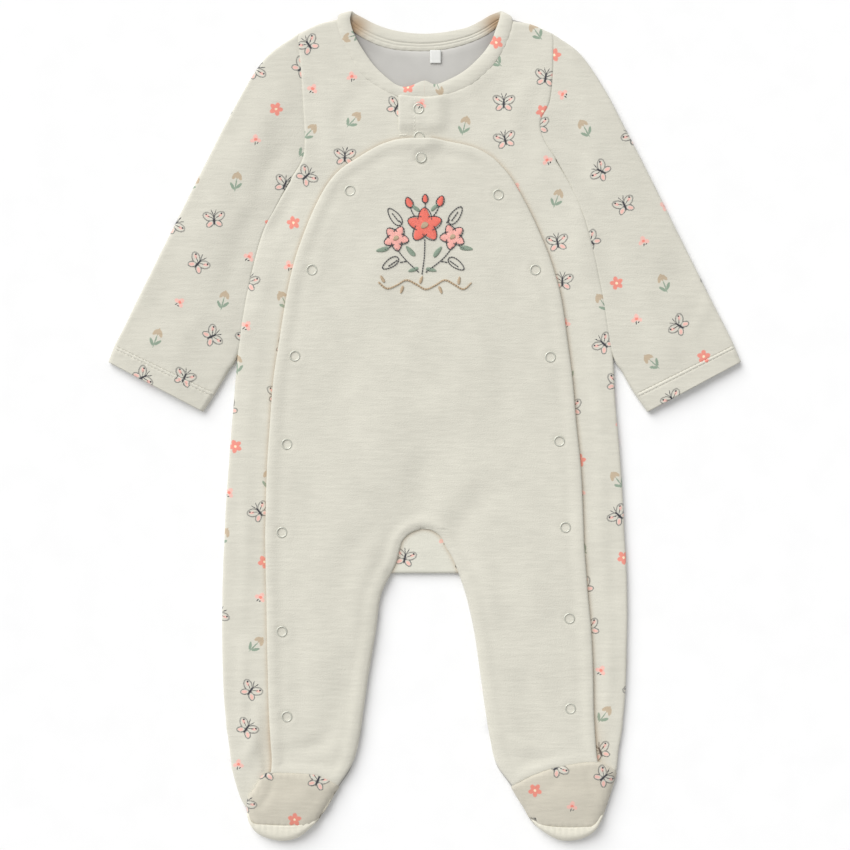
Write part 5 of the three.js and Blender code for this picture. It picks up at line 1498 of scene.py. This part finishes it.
def stitch_piece(name, starts, ends, width, rise, material):
    """Threads: each is a spindle between two points, four six-sided rings and two tips. Its girth falls by the
    fourth power of the way from the middle, and its middle rises over its ends by the square of that way."""
    starts, ends = np.asarray(starts, float), np.asarray(ends, float)
    half, middle = (ends - starts) / 2, (ends + starts) / 2
    along = unit(half)
    side = unit(np.cross(np.array([0.0, 0.0, 1.0]), along))
    up = np.cross(along, side)
    u = np.array([-0.8, -0.35, 0.35, 0.8])
    angle = np.linspace(0, 2 * math.pi, 6, endpoint=False)
    girth = (width / 2) * np.sqrt(1 - u ** 4 * 0.75)
    arch = rise * (1 - u ** 2)
    rings = (
        middle[:, None, None] + half[:, None, None] * u[None, :, None, None]
        + side[:, None, None] * (girth[:, None] * np.cos(angle))[None, ..., None]
        + up[:, None, None] * (girth[:, None] * np.sin(angle) + arch[:, None])[None, ..., None]
    )
    count = len(starts)
    points = np.concatenate([rings.reshape(count, 24, 3), starts[:, None], ends[:, None]], axis=1)
    points = points.reshape(-1, 3)
    ring = np.arange(6)
    following = (ring + 1) % 6
    faces = []
    for k in (0, 6, 12):
        a, b, c, d = k + ring, k + following, k + 6 + following, k + 6 + ring
        faces += [np.stack([a, b, c], 1), np.stack([a, c, d], 1)]
    faces.append(np.stack([np.full(6, 24), following, ring], 1))
    faces.append(np.stack([np.full(6, 25), 18 + ring, 18 + following], 1))
    faces = (np.arange(count)[:, None, None] * 26 + np.concatenate(faces)[None]).reshape(-1, 3)
    return make_piece(name, points, turned_out(points, faces), [material])


def run_of_stitches(line, stitch, gap=0.25):
    """Starts and ends of stitches of one length along a line of points."""
    length = way_along(line)
    count = max(1, int(length[-1] / stitch))
    start = np.arange(count) * length[-1] / count
    end = start + length[-1] / count * (1 - gap)

    def at(way):
        return np.column_stack([np.interp(way, length, line[:, k]) for k in range(line.shape[1])])

    return at(start), at(end)


def satin_leaf(x, y, degrees, long, short, spacing):
    """Satin stitch in a leaf or petal: threads across its axis, leaning a little. Their width is an ellipse's, a
    quarter less towards the tip."""
    angle = math.radians(degrees)
    axis = np.array([math.cos(angle), math.sin(angle)])
    cross = np.array([-axis[1], axis[0]])
    u = np.linspace(-1, 1, max(4, int(2 * long / spacing)))[1:-1]
    width = short * np.sqrt(1 - u ** 2) * (1 - 0.25 * u)
    spot = np.array([[x, y]]) + axis * (u * long)[:, None]
    reach = cross * width[:, None] + axis * (SATIN_LEAN * width)[:, None]
    return spot - reach, spot + reach


# How far a seam's and an embroidery's threads rise over their ends, and the lean of satin stitch
SEAM_RISE = 0.12
SATIN_RISE = 0.18
SATIN_LEAN = 0.35
# How high the middle of a thread lies over the cloth: in satin stitch, in outlines, and in the flowers' hearts
FILL_LIFT = 0.25
RIM_LIFT = 0.3
HEART_LIFT = 0.7
# Stitches of the outlines, and the degrees on both sides of a petal's tip that its outline runs to
RIM_STITCH = 1.7
BUD_STITCH = 1.6
VINE_STITCH = 1.8
PETAL_RIM = 112
THICK_THREAD = 0.75
FINE_THREAD = 0.52
# Sprig on the chest: flowers as centre x, y, petals, reach, petal half length and width, thread, first angle
SPRIG_CENTRE = (-0.7, 126.0)
SPRIG_FLOWERS = [
    (0.5, 13.5, 5, 9.4, 6.0, 4.4, "coral", 90), (-19.5, 4.5, 5, 6.8, 4.4, 3.2, "pink", 60),
    (20, 5.5, 5, 6.8, 4.4, 3.2, "pink", 112),
]
SPRIG_HEARTS = [(0.5, 13.5, 2.5), (-19.5, 4.5, 1.9), (20, 5.5, 1.9)]
SPRIG_BUDS = [(-10.5, 29.5, 112, 3.6, 2.3), (11.5, 30.5, 66, 3.6, 2.3), (0.8, 32.2, 88, 2.8, 1.8)]
SPRIG_LEAVES = [
    (-6.0, 25.6, 140, 3.6, 1.4), (7.5, 26.2, 40, 3.6, 1.4), (-29, -3.5, 190, 4.6, 1.8),
    (29.5, -2.5, -10, 4.6, 1.8), (-9.5, -4.5, 130, 4.6, 1.8), (9.5, -5.0, 50, 4.6, 1.8),
    (-7.5, -17.5, 196, 3.8, 1.5), (5, -17.5, -14, 3.8, 1.5),
]
# Leaves in outline only
SPRIG_DRAWN = [
    (-20.5, 19.5, 128, 7.0, 2.9), (22, 20.5, 54, 7.0, 2.9), (-23.5, -13.0, 214, 6.4, 2.6),
    (22.5, -13.5, -36, 6.4, 2.6),
]
SPRIG_STEMS = [
    [(0.5, 4), (0.2, -8), (-1.5, -21)], [(-19.5, -2.5), (-13, -10.5), (-3.5, -19.5)],
    [(20, -1.5), (13, -10), (1, -19.5)], [(-6.5, 19.5), (-8.5, 23), (-9.5, 26.2)],
    [(6.5, 20), (9, 23.5), (10.3, 27)],
    [(-23, -1), (-25.5, -3), (-28, -3.4)], [(23.8, 0), (26, -2), (28.5, -2.6)], [(-15.5, 14.5), (-17.5, 17)],
    [(15.5, 15), (18, 17.8)], [(-12, -11.5), (-17, -12.5)], [(11.5, -11.5), (16.5, -12.5)],
    [(-25, -15.2), (-18.5, -10.8)], [(24, -15.7), (17.8, -11.2)], [(-22.4, 22), (-17.5, 15.8)],
    [(23.8, 23), (19, 16.4)], [(0.6, 23.2), (0.9, 29.5)],
]
SPRIG_VINE = [
    (-32, -26.5), (-26, -31), (-19, -28.5), (-12.5, -25), (-5.5, -28), (1, -31.5), (8, -28.5), (14.5, -25),
    (21.5, -28.5), (27.5, -31.5), (33, -27),
]
SPRIG_TENDRILS = [
    (-29, -24.0, 118, 2.8, 1.1), (-15.5, -31.5, 250, 2.8, 1.1), (-2, -24.5, 70, 2.8, 1.1),
    (11.5, -31.7, 290, 2.8, 1.1), (24.5, -25.1, 80, 2.8, 1.1),
]


def on_bib(points, lift):
    """Puts flat points of the sprig on the bib."""
    spots = np.asarray(points, float) + np.array(SPRIG_CENTRE)
    return np.column_stack([spots, bib_top(spots) + lift])


def leaf_rim(x, y, degrees, long, short, reach):
    """Outline just outside a satin leaf, the same ellipse, to as many degrees on both sides of its tip."""
    turn = np.radians(np.linspace(-reach, reach, 60))
    angle = math.radians(degrees)
    wide = np.sin(turn) * (short + 0.3) * (1 - 0.25 * np.cos(turn))
    rim = np.column_stack([np.cos(turn) * (long + 0.3), wide])
    return rim @ np.array([[math.cos(angle), math.sin(angle)], [-math.sin(angle), math.cos(angle)]]) + (x, y)


def petals(flower):
    """The petals of a flower, as leaves evenly turned about its middle."""
    x, y, count, reach, long, short, _, first = flower
    for k in range(count):
        angle = math.radians(first + 360 * k / count)
        away = reach - long * 0.55
        yield x + away * math.cos(angle), y + away * math.sin(angle), math.degrees(angle), long, short


class SLEEPSUIT_OT_back(bpy.types.Operator):
    """Back of the suit, printed outside and plain knit inside, with the crotch gusset folded over it."""
    bl_idname = "sleepsuit.back"
    bl_label = "Back and gusset"

    def execute(self, context):
        inks = [suit_cloth(context), wrong_side()]
        back, area = cloth_sheet("back", back_grids(), back_under, back_relief, inks, fold=back_shade)
        finish_piece(back, "velour_printed", "back_body")
        grid, cloth, length, fold = gusset_grid()
        # A paler copy of the printed velour: painted light
        light = velour("cotton_velour_gusset_lit", GUSSET_LIT_CREAM, context.scene.sleepsuit_cloth.cell)
        gusset = cloth_shell("gusset", grid, GUSSET_WALL, [light], cloth, fold=fold)
        finish_piece(gusset, "velour_printed", "crotch_gusset")
        return {"FINISHED"}


class SLEEPSUIT_OT_fronts(bpy.types.Operator):
    """Left and right printed fronts, which run on beneath the bib and lap at the placket."""
    bl_idname = "sleepsuit.fronts"
    bl_label = "Printed fronts"

    def execute(self, context):
        printed = [suit_cloth(context)]
        strip = strip_grid(FRONT_LEFT, FRONT_LEFT_CORNERS, True, False)
        heel = patch(
            FRONT_LEFT_HEEL, GRID, FRONT_COLUMNS, (False, True), (True, False), strip[-1, :-HIDDEN_COLUMNS],
        )
        left, area = cloth_sheet(
            "front_left_cloth", [strip, heel], front_under, front_relief, printed, grain=6,
            allowance=FRONT_SEAM, fold=front_shade,
        )
        finish_piece(left, "velour_printed", "front_left")
        strip = strip_grid(FRONT_RIGHT, FRONT_RIGHT_CORNERS, True, True)
        right, area = cloth_sheet(
            "front_right_cloth", [strip], front_right_under, front_relief, printed, grain=-5,
            allowance=FRONT_SEAM, fold=front_shade,
        )
        finish_piece(right, "velour_printed", "front_right")
        return {"FINISHED"}


class SLEEPSUIT_OT_bib(bpy.types.Operator):
    """Plain bib front from the arch on the chest to both ankles, with a rolled edge."""
    bl_idname = "sleepsuit.bib"
    bl_label = "Bib front"

    def execute(self, context):
        bib, area = cloth_sheet("bib", bib_grids(), bib_under, bib_relief, [suit_cloth(context, False)])
        finish_piece(bib, "velour_plain", "bib_front")
        return {"FINISHED"}


class SLEEPSUIT_OT_sleeves(bpy.types.Operator):
    """Both sleeves: flat tubes with a turned hem under two needle rows."""
    bl_idname = "sleepsuit.sleeves"
    bl_label = "Sleeves"

    def execute(self, context):
        settings = context.scene.sleepsuit_cloth
        # A slightly darker copy of the printed velour: painted shade
        printed = velour("cotton_velour_sleeve_shaded", settings.ground, settings.cell, settings.sleeve_painted_shade)
        for side, rows, armhole in SLEEVES:
            grid, cloth, length, width, area = sleeve_grid(rows, armhole)
            sleeve = cloth_shell(f"sleeve_{side}_cloth", grid, SLEEVE_WALL, [printed], cloth, closed_columns=True)
            finish_piece(sleeve, "velour_printed", f"sleeve_{side}")
        return {"FINISHED"}


class SLEEPSUIT_OT_neck(bpy.types.Operator):
    """Neck binding and the loop of tape inside the back neck."""
    bl_idname = "sleepsuit.neck"
    bl_label = "Neck binding and label"

    def execute(self, context):
        grid, wall, cloth, length, fold = neckband_grid()
        inks = [suit_cloth(context, False), suit_cloth(context)]
        band = cloth_shell("neck_binding", grid, wall, inks, cloth, closed_rows=True, fold=fold)
        # The front half, which lies high, is cut from the printed cloth
        centres = np.empty(3 * len(band.data.polygons), np.float32)
        band.data.polygons.foreach_get("center", centres)
        band.data.polygons.foreach_set("material_index", (centres[2::3] > BINDING_TURN).astype(np.int32))
        finish_piece(band, "velour_plain", "neckband")
        grid = label_grid()
        label = cloth_shell("neck_loop", grid, TAPE_WALL, [satin_tape()], grid[..., :2])
        finish_piece(label, "label_tape", "neck_label")
        return {"FINISHED"}


class SLEEPSUIT_OT_feet(bpy.types.Operator):
    """Insteps in print, and plain soles whose toe end turns up over the toes."""
    bl_idname = "sleepsuit.feet"
    bl_label = "Feet"

    def execute(self, context):
        settings = context.scene.sleepsuit_cloth
        # Soles and toe ends in a paler plain velour: painted light
        toe = velour("cotton_velour_sole_lit", TOE_LIT_CREAM)
        # The insteps' darker copy of the printed velour is painted shade
        shaded_velour = velour("cotton_velour_instep_shaded", INSTEP_SHADED_GROUND, settings.cell, settings.instep_painted_shade)
        for side, rows, plate, toes in (
            ("left", INSTEP_LEFT, SOLE_LEFT, TOE_LEFT), ("right", INSTEP_RIGHT, SOLE_RIGHT, TOE_RIGHT),
        ):
            instep, area = cloth_sheet(
                f"instep_{side}", [patch(rows, 1.2, 24, (True, True))], instep_under, instep_relief, [shaded_velour],
                grain=40, allowance=INSTEP_SEAM, tuck=INSTEP_TUCK,
            )
            finish_piece(instep, "velour_printed", f"foot_instep_{side}")
            grid, cloth, length = sole_grid(plate, toes)
            sole = cloth_shell(f"sole_{side}", grid, SOLE_WALL, [toe], cloth)
            finish_piece(sole, "velour_plain", f"foot_sole_{side}")
        return {"FINISHED"}


class SLEEPSUIT_OT_snaps(bpy.types.Operator):
    """Seventeen ring snaps, two on the placket and fifteen on the bib."""
    bl_idname = "sleepsuit.snaps"
    bl_label = "Ring snaps"

    def execute(self, context):
        metal = lacquered_ring()
        turn = np.linspace(0, 2 * math.pi, 24, endpoint=False)
        circle = np.column_stack([np.cos(turn), np.sin(turn)]) * (SNAP["inner"] + SNAP["outer"]) / 2
        for k, spot in enumerate(SNAPS):
            top = front_right_top if k < PLACKET_SNAPS else bib_top
            height = float(top(spot + circle).mean())
            ring = ring_piece(f"ring_{k + 1:02d}", spot, height - RING_PRESSED, metal)
            finish_piece(ring, "snap_metal", f"snap_{k + 1:02d}")
        return {"FINISHED"}


class SLEEPSUIT_OT_stitching(bpy.types.Operator):
    """Needle threads: the twin rows of the cuffs, the placket's line and its bar."""
    bl_idname = "sleepsuit.stitching"
    bl_label = "Stitching"

    def execute(self, context):
        trim = context.scene.sleepsuit_trim
        cream = thread("polyester_thread_cream", THREAD_CREAM)
        width, stitch = trim.needle_thread * 1000, trim.stitch * 1000
        for side, rows, armhole in SLEEVES:
            grid, _, length, _, _ = sleeve_grid(rows, armhole)
            walked = sleeve_stations(length)
            runs = []
            for away in (-NEEDLES_APART / 2, NEEDLES_APART / 2):
                row = int(np.argmin(np.abs(walked - (length - HEM_LINE + away))))
                runs.append(run_of_stitches(grid[row, SLEEVE_TOP] + (0, 0, SLEEVE_WALL / 2 + 0.05), stitch))
            starts, ends = (np.concatenate(points) for points in zip(*runs))
            seam = stitch_piece(f"cuff_stitches_{side}", starts, ends, width, SEAM_RISE, cream)
            finish_piece(seam, "velour_printed")

        def on_front(x, y, lift):
            line = np.column_stack([x, np.broadcast_to(y, x.shape)])
            return np.column_stack([line, front_right_top(line) + lift])

        line = on_front(np.full(40, PLACKET_LINE), np.linspace(229, 203, 40), 0.02)
        starts, ends = run_of_stitches(line, stitch)
        bar = np.linspace(PLACKET_BAR["left"], PLACKET_BAR["right"], 9)
        starts = np.concatenate([starts, on_front(bar, PLACKET_BAR["high"], 0.1)])
        ends = np.concatenate([ends, on_front(bar + 0.1, PLACKET_BAR["low"], 0.1)])
        placket = stitch_piece("placket_stitches", starts, ends, width, SEAM_RISE, cream)
        finish_piece(placket, "velour_printed")
        return {"FINISHED"}


class SLEEPSUIT_OT_embroidery(bpy.types.Operator):
    """Sprig on the chest in satin stitch: three flowers, leaves, dark stems, and a wavy vine below."""
    bl_idname = "sleepsuit.embroidery"
    bl_label = "Embroidered sprig"

    def execute(self, context):
        spacing = context.scene.sleepsuit_trim.satin * 1000
        inks = {"coral": CORAL, "pink": PINK, "sage": SAGE, "charcoal": CHARCOAL, "tan": TAN}
        groups = {name: ([], []) for name in inks}

        def sew(colour, stitches, lift):
            """Adds the starts and ends of stitches to their colour's, laid on the bib."""
            for kept, points in zip(groups[colour], stitches):
                kept.append(on_bib(points, lift))

        def fill(colour, shape, lift=FILL_LIFT):
            sew(colour, satin_leaf(*shape, spacing), lift)

        def draw(shape, stitch=RIM_STITCH, reach=180, lift=RIM_LIFT):
            sew("charcoal", run_of_stitches(leaf_rim(*shape, reach), stitch, 0.05), lift)

        for flower in SPRIG_FLOWERS:
            for petal in petals(flower):
                fill(flower[6], petal)
                draw(petal, reach=PETAL_RIM)
        for x, y, radius in SPRIG_HEARTS:
            fill("tan", (x, y, 0, radius, radius), HEART_LIFT)
        for shape in SPRIG_BUDS:
            fill("coral", shape)
            draw(shape, BUD_STITCH)
        for shape in SPRIG_DRAWN:
            draw(shape, lift=FILL_LIFT)
        for colour, shapes in (("sage", SPRIG_LEAVES), ("tan", SPRIG_TENDRILS)):
            for shape in shapes:
                fill(colour, shape)
        for stem in SPRIG_STEMS:
            sew("charcoal", run_of_stitches(catmull(stem, np.linspace(0, 1, 60)), RIM_STITCH, 0.05), FILL_LIFT)
        vine = catmull(SPRIG_VINE, np.linspace(0, 1, 300))
        for line in (vine, vine + (0.25, 0.55)):
            sew("tan", run_of_stitches(line, VINE_STITCH, 0.0), RIM_LIFT)
        for name, ends in groups.items():
            width = THICK_THREAD if name in ("charcoal", "tan") else FINE_THREAD
            starts, ends = (np.concatenate(points) for points in ends)
            material = thread(f"rayon_thread_{name}", inks[name])
            piece = stitch_piece(f"embroidery_{name}", starts, ends, width, SATIN_RISE, material)
            finish_piece(piece, "velour_plain")
        return {"FINISHED"}


class SLEEPSUIT_OT_stage(bpy.types.Operator):
    """Paper floor, a large soft light from the upper left, an even fill and the camera looking straight down."""
    bl_idname = "sleepsuit.stage"
    bl_label = "Stage, light and camera"

    def execute(self, context):
        scene = context.scene
        stage = scene.sleepsuit_stage
        mesh = bpy.data.meshes.new("floor")
        corners = ((-1, -1), (1, -1), (1, 1), (-1, 1))
        mesh.from_pydata([(x * FLOOR_HALF, y * FLOOR_HALF, FLOOR_Z) for x, y in corners], [], [(0, 1, 2, 3)])
        mesh.materials.append(paper_floor())
        floor = bpy.data.objects.new("floor", mesh)
        scene.collection.objects.link(floor)
        lamp = bpy.data.lights.new("main_light", "SUN")
        lamp.energy = stage.key
        lamp.angle = stage.key_size
        main_light = bpy.data.objects.new("main_light", lamp)
        main_light.rotation_euler = (stage.key_height - math.pi / 2, 0.0, stage.key_turn)
        scene.collection.objects.link(main_light)
        world = bpy.data.worlds.new("studio")
        world.use_nodes = True
        fill = world.node_tree.nodes["Background"].inputs
        fill["Color"].default_value = linear("#ffffff")
        fill["Strength"].default_value = stage.sky
        scene.world = world
        scene.view_settings.view_transform = "Standard"
        camera = bpy.data.cameras.new("camera")
        camera.sensor_width = 36.0
        camera.lens = stage.lens * 1000
        eye = bpy.data.objects.new("camera", camera)
        reach = stage.view_width * stage.lens * 1000 / camera.sensor_width
        eye.location = (SHIFT[0] / 1000, SHIFT[1] / 1000, CLOTH_Z + reach)
        scene.collection.objects.link(eye)
        scene.camera = eye
        return {"FINISHED"}


OPERATORS = (
    SLEEPSUIT_OT_back, SLEEPSUIT_OT_fronts, SLEEPSUIT_OT_bib, SLEEPSUIT_OT_sleeves, SLEEPSUIT_OT_neck,
    SLEEPSUIT_OT_feet, SLEEPSUIT_OT_snaps, SLEEPSUIT_OT_stitching, SLEEPSUIT_OT_embroidery, SLEEPSUIT_OT_stage,
)


class SLEEPSUIT_PT_panel(bpy.types.Panel):
    """Sidebar panel with the settings and one button for each step."""
    bl_idname = "SLEEPSUIT_PT_panel"
    bl_label = "Footed sleepsuit"
    bl_space_type = "VIEW_3D"
    bl_region_type = "UI"
    bl_category = "Sleepsuit"

    def draw(self, context):
        for name in GROUPS:
            group = getattr(context.scene, name)
            box = self.layout.box()
            for setting in group.bl_rna.properties.keys():
                if setting not in ("rna_type", "name"):
                    box.prop(group, setting)
        for operator in OPERATORS:
            self.layout.operator(operator.bl_idname)


GROUPS = {
    "sleepsuit_cloth": SleepsuitCloth, "sleepsuit_trim": SleepsuitTrim, "sleepsuit_stage": SleepsuitStage,
}


def register():
    """Registers the settings, the steps and the panel."""
    for group in GROUPS.values():
        bpy.utils.register_class(group)
    for operator in OPERATORS:
        bpy.utils.register_class(operator)
    bpy.utils.register_class(SLEEPSUIT_PT_panel)
    for name, group in GROUPS.items():
        setattr(bpy.types.Scene, name, bpy.props.PointerProperty(type=group))


def unregister():
    """Takes out what register put in."""
    for name in GROUPS:
        delattr(bpy.types.Scene, name)
    bpy.utils.unregister_class(SLEEPSUIT_PT_panel)
    for operator in reversed(OPERATORS):
        bpy.utils.unregister_class(operator)
    for group in GROUPS.values():
        bpy.utils.unregister_class(group)


def main():
    """Runs every step in order."""
    register()
    for operator in OPERATORS:
        family, name = operator.bl_idname.split(".")
        getattr(getattr(bpy.ops, family), name)()


if __name__ == "__main__":
    main()
